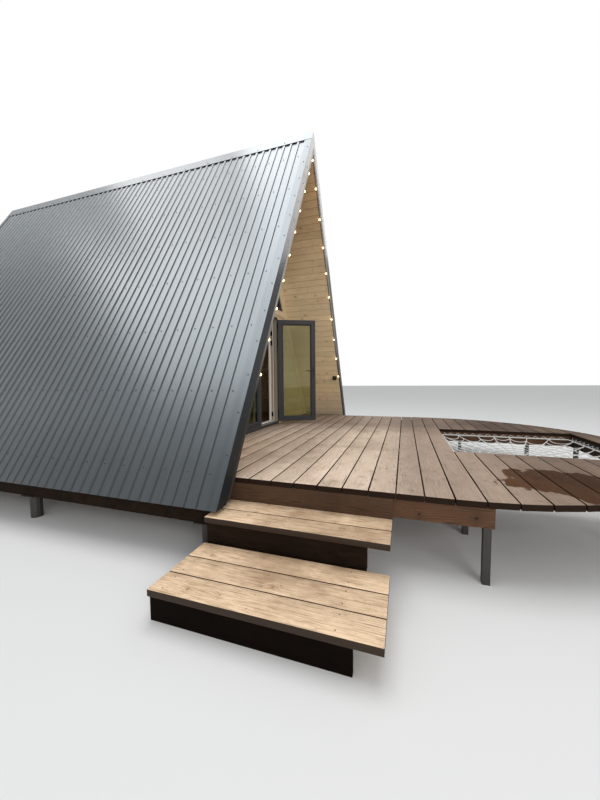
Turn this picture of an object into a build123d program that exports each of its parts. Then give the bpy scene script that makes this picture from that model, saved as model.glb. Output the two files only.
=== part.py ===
from build123d import *
import math
import os

# A timber A-frame cabin with a porch, a deck with a round end, a rope net in the deck and two steps.
# X runs along the gable, Y from the front edge of the roof towards the back, and Z up from the ground.
# The origin is the foot of the post that stands under the middle of the roof's front edge.

# Levels
deck_top = 600
apex_rise = 4600
eave_level = 450
sheet_eave_level = 432

# Roof build-up, from the crests of the metal sheet inwards
roof_length = 6900
roof_half_width = 2740
rib_height = 14
sheet_thickness = 2
rib_pitch = 115
rib_crest = 30
rib_slant = 7
panel_thickness = 136
lining_thickness = 18
lining_board = 114
lining_groove = 4
barge_thickness = 22
mitre_gap = 0.5
ridge_clearance = 40
cap_leg_drop = 170
flashing_thickness = 2
flashing_face = 126
flashing_leg = 95
eave_strip_leg = 50

# Floor and its beams and piles
floor_thickness = 150
beam_width = 150
beam_height = 200
beam_end_inset = 120
beam_inset = 190
pile_radius = 54
pile_sides = 12
pile_plate = 180
pile_plate_thickness = 10
pile_rows = 4
pile_end_inset = 220

# Walls
front_wall_y = 950
wall_thickness = 180
rear_overhang = 300
window_over_door = 160
window_border = 180
window_frame_width = 50
window_frame_depth = 60
glass_thickness = 20
trim_thickness = 20
trim_foot_gap = 2
sill_trim_height = 110
casing_width = 70

# Door and fixed light, in one frame
unit_centre_x = -50
unit_width = 1580
unit_height = 2000
frame_width = 50
frame_depth = 70
mullion_width = 40
inner_trim_depth = 12
inner_trim_overlap = 20
jamb_lining = 20
leaf_thickness = 56
leaf_stile = 75
leaf_recess = 2
leaf_gap = 5
leaf_free_gap = 9
door_open_angle = 116.7
hinge_setback = 10
hinge_shift = 1
hinge_radius = 8
hinge_length = 100
hinge_levels = (180, 1520, 1790)
hinge_plate_width = 24
hinge_plate_thickness = 8
hinge_plate_start = 3
hinge_wing = 5
hinge_play = 0.3
frame_barrel = 60
handle_level = 1000
handle_inset = 36
handle_plate_width = 30
handle_plate_height = 150
handle_plate_thickness = 9
handle_reach = 45
handle_lever = 120
handle_radius = 9

# Deck
deck_near_inset = 240
deck_far_inset = 380
porch_far_inset = 240
board_pitch = 200
board_gap = 9
board_thickness = 45
first_board_edge = 91
field_boards = 10
net_boards = 9
end_boards = 2
end_spare = 21
joist_width = 50
joist_height = 150
joist_far_inset = 200
joist_end_inset = 120
joist_wall_gap = 10
end_stub_x = 400
post_width = 50
post_end_inset = 45
long_joist = 3000
fascia_thickness = 30
fascia_drop = 200

# Net opening and rope net
net_low_x = -920
net_high_x = 780
rope = 12
net_drop = 90
net_radials = 24
net_ring_step = 150
net_ring_count = 8
net_hub_radius = 60

# Steps
step_left_y = 79
step_right_y = -1288
step_rise_1 = 199
step_rise_2 = 394
tread_board = 186
tread_gap = 6
tread_clearance = 0.3
upper_boards = 2
lower_boards = 3
riser_thickness = 28
upper_riser_setback = 34
lower_riser_setback = 8
riser_short = 150
frame_bar = 50
frame_inset = 30

# String of lamps under the front edge of the roof
cable_radius = 4
cable_sides = 6
cable_clearance = 0.3
cable_y = 20
cable_tail = 28
cable_top_half = 30
cable_top_bend = 47
cable_socket_bend = 20
lamp_pitch = 433
lamp_count = 9
apex_lamp_drop = 1.5
holder_radius = 14
holder_length = 12
bulb_radius = 16
bulb_sides = 8
bulb_steps = 2
bulb_neck_angle = 60
socket_side = 80
socket_depth = 45
socket_drop = 38
socket_reach = 48

os.makedirs("parts", exist_ok=True)

slope = math.atan2(apex_rise, roof_half_width)
apex_level = deck_top + apex_rise
panel_out = rib_height
panel_in = panel_out + panel_thickness
lining_in = panel_in + lining_thickness
sides = (("left", -1), ("right", 1))


def roof_x(inward, z):
    """Half width of the roof plane that lies inward of the crests, at height z."""
    return roof_half_width - (z - deck_top) / math.tan(slope) - inward / math.sin(slope)


def roof_z(inward, x=0):
    """Height of the same plane at a distance x from the middle."""
    return apex_level - inward / math.cos(slope) - x * math.tan(slope)


def section(y):
    """Upright plane across the cabin at y. A negative extrusion runs towards the back."""
    return Plane.XZ.offset(-y)


def slope_plane(side):
    """Plane across the roof slope at the ridge: its x is +Y and its normal runs down the slope."""
    down = Vector(side * math.cos(slope), 0, -math.sin(slope))
    return Plane(origin=(0, 0, apex_level), x_dir=(0, 1, 0), z_dir=down)


def save(piece, name):
    """Label one finished piece and write it to its own file."""
    piece.part.label = name
    export_step(piece.part, f"parts/{name}.step")


def fan(side, outer, inner, foot, gap=0):
    """Corners of a roof layer between two inward distances, from the foot level to the middle."""
    return (
        (side * roof_x(outer, foot), foot),
        (side * gap, roof_z(outer, gap)),
        (side * gap, roof_z(inner, gap)),
        (side * roof_x(inner, foot), foot),
    )


# Roof panels and barge boards
panel_length = roof_length - 2 * barge_thickness
for name, side in sides:
    with BuildPart() as roof_panel:
        with BuildSketch(section(barge_thickness)):
            Polygon(*fan(side, panel_out, panel_in, eave_level), align=None)
        extrude(amount=-panel_length)
    save(roof_panel, f"{name}_roof_panel")

with BuildPart() as barge_boards:
    for start in (0, roof_length - barge_thickness):
        for name, side in sides:
            with BuildSketch(section(start)):
                Polygon(*fan(side, panel_out, lining_in, eave_level, mitre_gap), align=None)
            extrude(amount=-barge_thickness)
save(barge_boards, "barge_boards")

# Lining boards on the inner faces, with a V groove at each joint
lining_foot_x = roof_x(lining_in, eave_level)
lining_run = lining_foot_x / math.cos(slope)
groove_count = int(lining_run // lining_board)
for name, side in sides:
    inner_edge = []
    for joint in range(1, groove_count + 1):
        for shift, inward in ((-lining_groove, 0), (0, lining_groove), (lining_groove, 0)):
            run = joint * lining_board + shift
            x = lining_foot_x - run * math.cos(slope) + inward * math.sin(slope)
            z = eave_level + run * math.sin(slope) + inward * math.cos(slope)
            inner_edge.append((side * x, z))
    outer_edge = fan(side, panel_in, lining_in, eave_level)
    with BuildPart() as lining:
        with BuildSketch(section(barge_thickness)):
            with BuildLine():
                Polyline(outer_edge[2], outer_edge[1], outer_edge[0], outer_edge[3], *inner_edge, close=True)
            make_face()
        extrude(amount=-panel_length)
    save(lining, f"{name}_lining")

# Ribbed metal sheets: a folded profile carried down the slope
sheet_run = (apex_level - sheet_eave_level) / math.sin(slope)
rib_total = int(roof_length // rib_pitch)
for name, side in sides:
    top = []
    for rib in range(rib_total):
        start = rib * rib_pitch
        valley_end = start + rib_pitch - rib_crest - 2 * rib_slant
        top.append((start, -rib_height + sheet_thickness))
        top.append((valley_end, -rib_height + sheet_thickness))
        top.append((valley_end + rib_slant, 0))
        top.append((valley_end + rib_slant + rib_crest, 0))
    top.append((roof_length, -rib_height + sheet_thickness))
    under = [(y, height - sheet_thickness) for y, height in reversed(top)]
    outline = [(y, side * height) for y, height in top + under]
    with BuildPart() as sheet:
        with BuildSketch(slope_plane(side).offset(ridge_clearance)):
            with BuildLine():
                Polyline(*outline, close=True)
            make_face()
        extrude(amount=sheet_run - ridge_clearance)
    save(sheet, f"{name}_roof_sheet")

# Ridge cap over the flashings, and the flashings round the rakes
cap_under = -flashing_thickness
cap_over = cap_under - flashing_thickness
cap_foot = apex_level - cap_leg_drop
with BuildPart() as ridge_cap:
    with BuildSketch(section(-flashing_thickness)):
        with BuildLine():
            right = fan(1, cap_over, cap_under, cap_foot)
            left = fan(-1, cap_over, cap_under, cap_foot)
            Polyline(right[3], right[0], right[1], left[0], left[3], left[2], close=True)
        make_face()
    extrude(amount=-(roof_length + 2 * flashing_thickness))
save(ridge_cap, "ridge_cap")

flashing_start = -(lining_in + flashing_face)
with BuildPart() as flashings:
    for edge, inward in ((0, 1), (roof_length, -1)):
        for name, side in sides:
            face_profile = (
                (edge - inward * flashing_thickness, side * flashing_thickness),
                (edge + inward * flashing_leg, side * flashing_thickness),
                (edge + inward * flashing_leg, 0),
                (edge, 0),
                (edge, -side * flashing_face),
                (edge - inward * flashing_thickness, -side * flashing_face),
            )
            with BuildPart(mode=Mode.PRIVATE) as flashing:
                with BuildSketch(slope_plane(side).offset(flashing_start)):
                    with BuildLine():
                        Polyline(*face_profile, close=True)
                    make_face()
                extrude(amount=sheet_run - flashing_start)
                split(bisect_by=Plane.YZ.offset(side * mitre_gap), keep=Keep.TOP if side > 0 else Keep.BOTTOM)
                split(bisect_by=Plane.XY.offset(sheet_eave_level), keep=Keep.TOP)
            add(flashing.part)
save(flashings, "rake_flashings")

# Eave strips under the panels' feet
strip_edge = roof_x(panel_out, eave_level)
strip_low = eave_level - flashing_thickness
with BuildPart() as eave_strips:
    for name, side in sides:
        with BuildSketch(section(barge_thickness)):
            Polygon(
                (side * strip_edge, eave_level),
                (side * (strip_edge - eave_strip_leg), eave_level),
                (side * (strip_edge - eave_strip_leg), strip_low),
                (side * strip_edge, strip_low),
                align=None,
            )
        extrude(amount=-panel_length)
save(eave_strips, "eave_strips")

# Floor platform, its beams and the piles
floor_low = deck_top - floor_thickness
rear_wall_y = roof_length - rear_overhang - wall_thickness
floor_end_y = rear_wall_y + wall_thickness
with BuildPart() as floor:
    with BuildSketch(section(front_wall_y)):
        Polygon(
            (roof_x(lining_in, floor_low), floor_low),
            (roof_x(lining_in, deck_top), deck_top),
            (-roof_x(lining_in, deck_top), deck_top),
            (-roof_x(lining_in, floor_low), floor_low),
            align=None,
        )
    extrude(amount=-(floor_end_y - front_wall_y))
save(floor, "floor")

beam_low = floor_low - beam_height
outer_beam_x = roof_half_width - beam_inset + beam_width / 2
outer_beam_length = roof_length - 2 * beam_end_inset
with BuildPart() as floor_beams:
    for x in (-outer_beam_x, outer_beam_x):
        with BuildSketch(Plane.XY.offset(beam_low)):
            with Locations((x, roof_length / 2)):
                Rectangle(beam_width, outer_beam_length)
        extrude(amount=beam_height)
    with BuildSketch(Plane.XY.offset(beam_low)):
        with Locations((0, (front_wall_y + floor_end_y) / 2)):
            Rectangle(beam_width, floor_end_y - front_wall_y)
    extrude(amount=beam_height)
save(floor_beams, "floor_beams")

pile_low_y = pile_end_inset
pile_high_y = roof_length - pile_end_inset
pile_step = (pile_high_y - pile_low_y) / (pile_rows - 1)
outer_pile_spots = [
    (x, pile_low_y + row * pile_step) for x in (-outer_beam_x, outer_beam_x) for row in range(pile_rows)
]
middle_low_y = front_wall_y + pile_end_inset
middle_step = (floor_end_y - pile_end_inset - middle_low_y) / (pile_rows - 2)
pile_spots = outer_pile_spots + [(0, middle_low_y + row * middle_step) for row in range(pile_rows - 1)]
with BuildPart() as piles:
    with BuildSketch():
        with Locations(*pile_spots):
            RegularPolygon(pile_radius, pile_sides)
    extrude(amount=beam_low - pile_plate_thickness)
    with BuildSketch(Plane.XY.offset(beam_low - pile_plate_thickness)):
        with Locations(*pile_spots):
            Rectangle(pile_plate, pile_plate)
    extrude(amount=pile_plate_thickness)
save(piles, "piles")

# Front wall, split beside and over the door unit
unit_low_x = unit_centre_x - unit_width / 2
unit_high_x = unit_centre_x + unit_width / 2
unit_head = deck_top + unit_height
wall_foot_x = roof_x(lining_in, deck_top)
wall_head_x = roof_x(lining_in, unit_head)
wall_apex = roof_z(lining_in)
sill_level = unit_head + window_over_door
window_in = lining_in + window_border
window_foot_x = roof_x(window_in, sill_level)
window_apex = roof_z(window_in)

for name, side, jamb_x in (("left", -1, unit_low_x), ("right", 1, unit_high_x)):
    with BuildPart() as wall_side:
        with BuildSketch(section(front_wall_y)):
            Polygon(
                (side * wall_foot_x, deck_top),
                (side * wall_head_x, unit_head),
                (jamb_x, unit_head),
                (jamb_x, deck_top),
                align=None,
            )
        extrude(amount=-wall_thickness)
    save(wall_side, f"front_wall_{name}")

window_corners = ((window_foot_x, sill_level), (0, window_apex), (-window_foot_x, sill_level))
with BuildPart() as wall_head:
    with BuildSketch(section(front_wall_y)):
        Polygon((wall_head_x, unit_head), (0, wall_apex), (-wall_head_x, unit_head), align=None)
        Polygon(*window_corners, align=None, mode=Mode.SUBTRACT)
    extrude(amount=-wall_thickness)
save(wall_head, "front_wall_gable")

with BuildPart() as rear_wall:
    with BuildSketch(section(rear_wall_y)):
        Polygon((wall_foot_x, deck_top), (0, wall_apex), (-wall_foot_x, deck_top), align=None)
        Polygon(*window_corners, align=None, mode=Mode.SUBTRACT)
    extrude(amount=-wall_thickness)
save(rear_wall, "rear_wall")

# Gable windows
pane_in = window_in + window_frame_width
pane_level = sill_level + window_frame_width
pane_corners = (
    (roof_x(pane_in, pane_level), pane_level),
    (0, roof_z(pane_in)),
    (-roof_x(pane_in, pane_level), pane_level),
)
rear_frame_y = rear_wall_y + wall_thickness - window_frame_depth
for end, frame_y in (("front", front_wall_y), ("rear", rear_frame_y)):
    with BuildPart() as window_frame:
        with BuildSketch(section(frame_y)):
            Polygon(*window_corners, align=None)
            Polygon(*pane_corners, align=None, mode=Mode.SUBTRACT)
        extrude(amount=-window_frame_depth)
    save(window_frame, f"{end}_window_frame")
    with BuildPart() as window_glass:
        with BuildSketch(section(frame_y + (window_frame_depth - glass_thickness) / 2)):
            Polygon(*pane_corners, align=None)
        extrude(amount=-glass_thickness)
    save(window_glass, f"{end}_window_glass")

# Trim boards on both end walls: along the slopes, and under the gable window
trim_foot = deck_top + trim_foot_gap
sill_trim_top_x = roof_x(window_in + mitre_gap, sill_level)
sill_trim_low_x = roof_x(window_in + mitre_gap, sill_level - sill_trim_height)
front_trim_y = front_wall_y - trim_thickness
for end, trim_y in (("front", front_trim_y), ("rear", floor_end_y)):
    with BuildPart() as trims:
        for name, side in sides:
            with BuildSketch(section(trim_y)):
                Polygon(*fan(side, lining_in, window_in, trim_foot, mitre_gap), align=None)
            extrude(amount=-trim_thickness)
        with BuildSketch(section(trim_y)):
            Polygon(
                (sill_trim_top_x, sill_level),
                (-sill_trim_top_x, sill_level),
                (-sill_trim_low_x, sill_level - sill_trim_height),
                (sill_trim_low_x, sill_level - sill_trim_height),
                align=None,
            )
        extrude(amount=-trim_thickness)
    save(trims, f"{end}_trims")

# Door unit: one frame holds the leaf's opening and a fixed light
mullion_x = unit_centre_x
opening_low_x = mullion_x + mullion_width / 2
opening_high_x = unit_high_x - frame_width
opening_low = deck_top + frame_width
opening_high = unit_head - frame_width
light_low_x = unit_low_x + frame_width
light_high_x = mullion_x - mullion_width / 2
frame_y = front_trim_y
inner_trim_y = frame_y + frame_depth
lining_y = inner_trim_y + inner_trim_depth


def upright(low_x, high_x, low, high, mode=Mode.ADD):
    """Rectangle in an upright section, given by its corners."""
    with Locations(((low_x + high_x) / 2, (low + high) / 2)):
        Rectangle(high_x - low_x, high - low, mode=mode)


with BuildPart() as door_frame:
    with BuildSketch(section(frame_y)):
        upright(unit_low_x, unit_high_x, deck_top, unit_head)
        upright(opening_low_x, opening_high_x, opening_low, opening_high, Mode.SUBTRACT)
        upright(light_low_x, light_high_x, opening_low, opening_high, Mode.SUBTRACT)
    extrude(amount=-frame_depth)
save(door_frame, "door_frame")

lap = inner_trim_overlap
with BuildPart() as door_inner_trim:
    with BuildSketch(section(inner_trim_y)):
        upright(unit_low_x, unit_high_x, deck_top, unit_head)
        upright(opening_low_x + lap, opening_high_x - lap, opening_low + lap, opening_high - lap, Mode.SUBTRACT)
        upright(light_low_x + lap, light_high_x - lap, opening_low + lap, opening_high - lap, Mode.SUBTRACT)
    extrude(amount=-inner_trim_depth)
save(door_inner_trim, "door_inner_trim")

with BuildPart() as door_lining:
    with BuildSketch(section(lining_y)):
        upright(unit_low_x, unit_high_x, deck_top, unit_head)
        upright(unit_low_x + jamb_lining, unit_high_x - jamb_lining, deck_top, unit_head - jamb_lining, Mode.SUBTRACT)
    extrude(amount=-(front_wall_y + wall_thickness - lining_y))
save(door_lining, "door_lining")

with BuildPart() as door_casing:
    with BuildSketch(section(front_trim_y)):
        upright(unit_low_x - casing_width, unit_high_x + casing_width, trim_foot, unit_head)
        upright(unit_low_x, unit_high_x, deck_top, unit_head, Mode.SUBTRACT)
    extrude(amount=-trim_thickness)
save(door_casing, "door_casing")

with BuildPart() as light_sash:
    with BuildSketch(section(frame_y + leaf_recess)):
        upright(light_low_x, light_high_x, opening_low, opening_high)
        upright(
            light_low_x + leaf_stile,
            light_high_x - leaf_stile,
            opening_low + leaf_stile,
            opening_high - leaf_stile,
            Mode.SUBTRACT,
        )
    extrude(amount=-leaf_thickness)
save(light_sash, "fixed_light_sash")

glass_inset = (leaf_thickness - glass_thickness) / 2
with BuildPart() as light_glass:
    with BuildSketch(section(frame_y + leaf_recess + glass_inset)):
        upright(
            light_low_x + leaf_stile,
            light_high_x - leaf_stile,
            opening_low + leaf_stile,
            opening_high - leaf_stile,
        )
    extrude(amount=-glass_thickness)
save(light_glass, "fixed_light_glass")

# Door leaf, standing open: its plane's x runs from the hinge to the free edge, its normal indoors
hinge_x = opening_high_x + hinge_shift
hinge_y = frame_y - hinge_setback
swing = math.radians(door_open_angle)
leaf_plane = Plane(
    origin=(hinge_x, hinge_y, 0),
    x_dir=(-math.cos(swing), -math.sin(swing), 0),
    z_dir=(-math.sin(swing), math.cos(swing), 0),
)
leaf_near = hinge_shift + leaf_gap
leaf_far = hinge_x - opening_low_x - leaf_free_gap
leaf_low = opening_low + leaf_gap
leaf_high = opening_high - leaf_gap
leaf_out = hinge_setback + leaf_recess
leaf_in = leaf_out + leaf_thickness

with BuildPart() as door_leaf:
    with BuildSketch(leaf_plane.offset(leaf_out)):
        upright(leaf_near, leaf_far, leaf_low, leaf_high)
        upright(
            leaf_near + leaf_stile,
            leaf_far - leaf_stile,
            leaf_low + leaf_stile,
            leaf_high - leaf_stile,
            Mode.SUBTRACT,
        )
    extrude(amount=leaf_thickness)
save(door_leaf, "door_leaf")

with BuildPart() as door_glass:
    with BuildSketch(leaf_plane.offset(leaf_out + glass_inset)):
        upright(
            leaf_near + leaf_stile,
            leaf_far - leaf_stile,
            leaf_low + leaf_stile,
            leaf_high - leaf_stile,
        )
    extrude(amount=glass_thickness)
save(door_glass, "door_glass")

# Lever handles on both faces, near the free edge
handle_x = leaf_far - handle_inset
handle_z = deck_top + handle_level
with BuildPart() as door_handle:
    for face, outward in ((leaf_in, 1), (leaf_out, -1)):
        with BuildSketch(leaf_plane.offset(face)):
            upright(
                handle_x - handle_plate_width / 2,
                handle_x + handle_plate_width / 2,
                handle_z - handle_plate_height / 2,
                handle_z + handle_plate_height / 2,
            )
        extrude(amount=outward * handle_plate_thickness)
        with BuildSketch(leaf_plane.offset(face)):
            with Locations((handle_x, handle_z)):
                Circle(handle_radius)
        extrude(amount=outward * handle_reach)
        with BuildSketch(leaf_plane.offset(face + outward * (handle_reach - 2 * handle_radius))):
            upright(
                handle_x - handle_lever,
                handle_x + handle_radius,
                handle_z - handle_radius,
                handle_z + handle_radius,
            )
        extrude(amount=outward * 2 * handle_radius)
save(door_handle, "door_handle")

# Hinges: a barrel on the axis with a wing on the leaf
with BuildPart() as door_hinges:
    for level in hinge_levels:
        with BuildSketch(Plane(origin=(hinge_x, hinge_y, deck_top + level))):
            Circle(hinge_radius)
        extrude(amount=hinge_length)
        with BuildSketch(leaf_plane.offset(leaf_out)):
            wing_low = deck_top + level
            upright(hinge_plate_start, leaf_near + hinge_plate_width, wing_low, wing_low + hinge_length)
        extrude(amount=-hinge_plate_thickness)
save(door_hinges, "door_hinges")

with BuildPart() as frame_hinges:
    for level in hinge_levels:
        with BuildSketch(Plane(origin=(hinge_x, hinge_y, deck_top + level - hinge_play))):
            Circle(hinge_radius)
        extrude(amount=-frame_barrel)
        with BuildSketch(section(frame_y - hinge_wing)):
            wing_top = deck_top + level - hinge_play
            upright(hinge_x, hinge_x + hinge_plate_width, wing_top - frame_barrel, wing_top)
        extrude(amount=-hinge_wing)
save(frame_hinges, "frame_hinges")

# Deck boards. The end past the net is half round, as wide as the deck
deck_near_x = deck_near_inset - roof_half_width
deck_far_x = roof_half_width - deck_far_inset
porch_far_x = roof_half_width - porch_far_inset
deck_mid_x = (deck_near_x + deck_far_x) / 2
deck_radius = (deck_far_x - deck_near_x) / 2
board_low = deck_top - board_thickness
field_end_y = first_board_edge - field_boards * board_pitch
net_end_y = field_end_y - net_boards * board_pitch
deck_end_y = net_end_y - end_boards * board_pitch - end_spare
deck_round_y = deck_end_y + deck_radius


def board_rows(high_y, count):
    """Low and high edges of a run of boards that starts at high_y and goes towards the deck's end."""
    half = board_gap / 2
    for row in range(count):
        edge = high_y - row * board_pitch
        yield edge - board_pitch + half, edge - half


porch_board_count = math.ceil((front_wall_y - first_board_edge) / board_pitch)
porch_start = first_board_edge + porch_board_count * board_pitch
with BuildPart() as deck_boards:
    with BuildSketch(Plane.XY.offset(board_low)):
        for low, high in board_rows(first_board_edge, field_boards):
            upright(deck_near_x, deck_far_x, low, high)
        for low, high in board_rows(field_end_y, net_boards):
            upright(deck_near_x, net_low_x, low, high)
            upright(net_high_x, deck_far_x, low, high)
        for low, high in board_rows(net_end_y, end_boards):
            upright(deck_near_x, deck_far_x, low, high)
        with BuildSketch(mode=Mode.INTERSECT):
            with BuildLine():
                Line((deck_near_x, deck_round_y), (deck_near_x, first_board_edge))
                Line((deck_near_x, first_board_edge), (deck_far_x, first_board_edge))
                Line((deck_far_x, first_board_edge), (deck_far_x, deck_round_y))
                ThreePointArc((deck_far_x, deck_round_y), (deck_mid_x, deck_end_y), (deck_near_x, deck_round_y))
            make_face()
        for low, high in board_rows(porch_start, porch_board_count):
            upright(deck_near_x, porch_far_x, low, min(high, front_wall_y - board_gap))
    extrude(amount=board_thickness)
save(deck_boards, "deck_boards")

# Joists run towards the cabin under the boards. Two of them are the long sides of the net opening
joist_low = board_low - joist_height
joist_start_y = front_wall_y - joist_wall_gap
near_joist_x = deck_near_x + fascia_thickness + joist_width / 2
far_joist_x = deck_far_x - joist_far_inset
net_joist_low_x = net_low_x - joist_width / 2
net_joist_high_x = net_high_x + joist_width / 2


def joist_end(x):
    """Where a joist at x stops, inside the round end of the deck."""
    reach = math.sqrt(deck_radius**2 - (abs(x - deck_mid_x) + joist_width / 2) ** 2)
    return deck_round_y - reach + joist_end_inset


net_joists_end = max(joist_end(net_joist_low_x), joist_end(net_joist_high_x))
stub_start_y = net_end_y - joist_width
near_middle_x = (near_joist_x + net_joist_low_x) / 2
far_middle_x = (far_joist_x + net_joist_high_x) / 2
joist_runs = [(x, joist_end(x)) for x in (near_joist_x, near_middle_x, far_middle_x, far_joist_x)]
joist_runs += [(x, net_joists_end) for x in (net_joist_low_x, net_joist_high_x)]
joist_runs += [(0, field_end_y + joist_width)]
with BuildPart() as joists:
    with BuildSketch(Plane.XY.offset(joist_low)):
        for x, end_y in joist_runs:
            upright(x - joist_width / 2, x + joist_width / 2, end_y, joist_start_y)
        for x in (deck_mid_x - end_stub_x, deck_mid_x + end_stub_x):
            upright(x - joist_width / 2, x + joist_width / 2, joist_end(x), stub_start_y)
    extrude(amount=joist_height)
save(joists, "deck_joists")

with BuildPart() as net_headers:
    with BuildSketch(Plane.XY.offset(joist_low)):
        upright(net_low_x, net_high_x, field_end_y, field_end_y + joist_width)
        upright(net_low_x, net_high_x, net_end_y - joist_width, net_end_y)
    extrude(amount=joist_height)
save(net_headers, "net_headers")

post_spots = [(x, y) for x, end_y in joist_runs for y in (0, end_y + post_end_inset)]
post_spots += [(x, field_end_y) for x, end_y in joist_runs if end_y < -long_joist]
with BuildPart() as posts:
    with BuildSketch():
        with Locations(*post_spots):
            Rectangle(post_width, post_width)
    extrude(amount=joist_low)
save(posts, "deck_posts")

fascia_low = board_low - fascia_drop
with BuildPart() as fascia:
    with BuildSketch(Plane.XY.offset(fascia_low)):
        upright(deck_near_x, deck_near_x + fascia_thickness, step_right_y, step_left_y)
    extrude(amount=fascia_drop)
save(fascia, "deck_fascia")

# Rope net: straight ropes out from a hub, and rings tied to them, in one flat web
net_mid_x = (net_low_x + net_high_x) / 2
net_mid_y = (field_end_y + net_end_y) / 2
net_half_x = (net_high_x - net_low_x) / 2
net_half_y = (field_end_y - net_end_y) / 2
net_level = deck_top - net_drop


net_corner_reach = math.hypot(net_half_x, net_half_y)
net_sector = 360 / net_radials
half_sector = math.radians(net_sector / 2)
with BuildPart() as net:
    with BuildSketch(Plane.XY.offset(net_level)):
        with Locations((net_mid_x, net_mid_y)):
            with PolarLocations(net_corner_reach / 2, net_radials, start_angle=net_sector / 2):
                Rectangle(net_corner_reach, rope)
        for ring in range(net_ring_count):
            radius = net_hub_radius + ring * net_ring_step
            chord = 2 * radius * math.sin(half_sector)
            with Locations((net_mid_x, net_mid_y)):
                with PolarLocations(radius * math.cos(half_sector), net_radials):
                    Rectangle(rope, chord + rope / 2)
        with BuildSketch(mode=Mode.INTERSECT):
            upright(net_low_x, net_high_x, net_end_y, field_end_y)
    extrude(amount=rope)
save(net, "rope_net")

# Steps
upper_top = deck_top - step_rise_1
lower_top = deck_top - step_rise_2
upper_start = deck_near_x - tread_clearance
upper_end = upper_start - upper_boards * tread_board - (upper_boards - 1) * tread_gap
lower_start = upper_end + tread_gap
lower_end = lower_start - lower_boards * tread_board - (lower_boards - 1) * tread_gap
with BuildPart() as treads:
    for level, start, count in ((upper_top, upper_start, upper_boards), (lower_top, lower_start, lower_boards)):
        with BuildSketch(Plane.XY.offset(level - board_thickness)):
            for row in range(count):
                high_x = start - row * (tread_board + tread_gap)
                upright(high_x - tread_board, high_x, step_right_y, step_left_y)
        extrude(amount=board_thickness)
save(treads, "step_treads")

upper_riser_x = upper_end + upper_riser_setback
lower_riser_x = lower_end + lower_riser_setback
riser_end_y = step_right_y + riser_short
with BuildPart() as risers:
    with BuildSketch(Plane.XY.offset(lower_top - board_thickness)):
        upright(upper_riser_x, upper_riser_x + riser_thickness, riser_end_y, step_left_y)
    extrude(amount=upper_top - lower_top)
    with BuildSketch():
        upright(lower_riser_x, lower_riser_x + riser_thickness, riser_end_y, step_left_y)
    extrude(amount=lower_top - board_thickness)
save(risers, "step_risers")

carrier_front = lower_riser_x + riser_thickness
carrier_mid = upper_riser_x + riser_thickness
carrier_back = upper_start
carrier_low_y = riser_end_y + frame_inset
carrier_high_y = step_left_y - frame_inset
carrier_spots = (carrier_low_y, (carrier_low_y + carrier_high_y - frame_bar) / 2, carrier_high_y - frame_bar)
with BuildPart() as carriers:
    for y in carrier_spots:
        with BuildSketch(section(y)):
            Polygon(
                (carrier_front, 0),
                (carrier_back, 0),
                (carrier_back, upper_top - board_thickness),
                (carrier_mid, upper_top - board_thickness),
                (carrier_mid, lower_top - board_thickness),
                (carrier_front, lower_top - board_thickness),
                align=None,
            )
        extrude(amount=-frame_bar)
save(carriers, "step_carriers")

# String of lamps under the front edge: cable, lamps, and the socket that feeds them
cable_in = lining_in + cable_clearance + cable_radius
lamp_in = cable_in + cable_radius
last_lamp_z = roof_z(lamp_in) - lamp_count * lamp_pitch * math.sin(slope)
socket_z = last_lamp_z - socket_drop
cable_end_z = last_lamp_z - cable_tail
cable_top_z = roof_z(cable_in, cable_top_half)
socket_corner_x = roof_x(cable_in, socket_z)
cable_points = (
    (socket_corner_x, cable_y + socket_reach, socket_z),
    (socket_corner_x, cable_y, socket_z),
    (cable_top_half, cable_y, cable_top_z),
    (-cable_top_half, cable_y, cable_top_z),
    (-roof_x(cable_in, cable_end_z), cable_y, cable_end_z),
)
with BuildPart() as cable:
    with BuildLine():
        FilletPolyline(*cable_points, radius=(cable_socket_bend, cable_top_bend, cable_top_bend))
    with BuildSketch(Plane(origin=cable_points[0], z_dir=(0, -1, 0))):
        RegularPolygon(cable_radius, cable_sides)
    sweep()
save(cable, "lamp_cable")

lamp_planes = [Plane(origin=(0, cable_y, cable_top_z - cable_radius - apex_lamp_drop), z_dir=(0, 0, -1))]
for name, side in sides:
    for lamp in range(1, lamp_count + 1):
        level = roof_z(lamp_in) - lamp * lamp_pitch * math.sin(slope)
        spot = (side * roof_x(lamp_in, level), cable_y, level)
        lamp_planes.append(Plane(origin=spot, z_dir=(-side * math.sin(slope), 0, -math.cos(slope))))
with BuildPart() as holders:
    for plane in lamp_planes:
        with BuildSketch(plane):
            RegularPolygon(holder_radius, bulb_sides)
        extrude(amount=holder_length)
save(holders, "lamp_holders")

bulb_rings = []
for step in range(bulb_steps + 1):
    latitude = math.radians(bulb_neck_angle * (2 * step / bulb_steps - 1))
    neck_rise = math.sin(latitude) + math.sin(math.radians(bulb_neck_angle))
    bulb_rings.append((holder_length + bulb_radius * neck_rise, bulb_radius * math.cos(latitude)))
with BuildPart() as bulbs:
    for plane in lamp_planes:
        with BuildPart(mode=Mode.PRIVATE) as bulb:
            for reach, radius in bulb_rings:
                with BuildSketch(plane.offset(reach)):
                    RegularPolygon(radius, bulb_sides)
            loft(ruled=True)
        add(bulb.part)
save(bulbs, "lamp_bulbs")

socket_y = cable_y + socket_reach + socket_side / 2
socket_plane = Plane(
    origin=(roof_x(lining_in, socket_z), socket_y, socket_z),
    x_dir=(0, 1, 0),
    z_dir=(-math.sin(slope), 0, -math.cos(slope)),
)
with BuildPart() as socket_box:
    with BuildSketch(socket_plane):
        Rectangle(socket_side, socket_side)
    extrude(amount=socket_depth)
save(socket_box, "socket_box")
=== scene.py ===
import math

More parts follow.
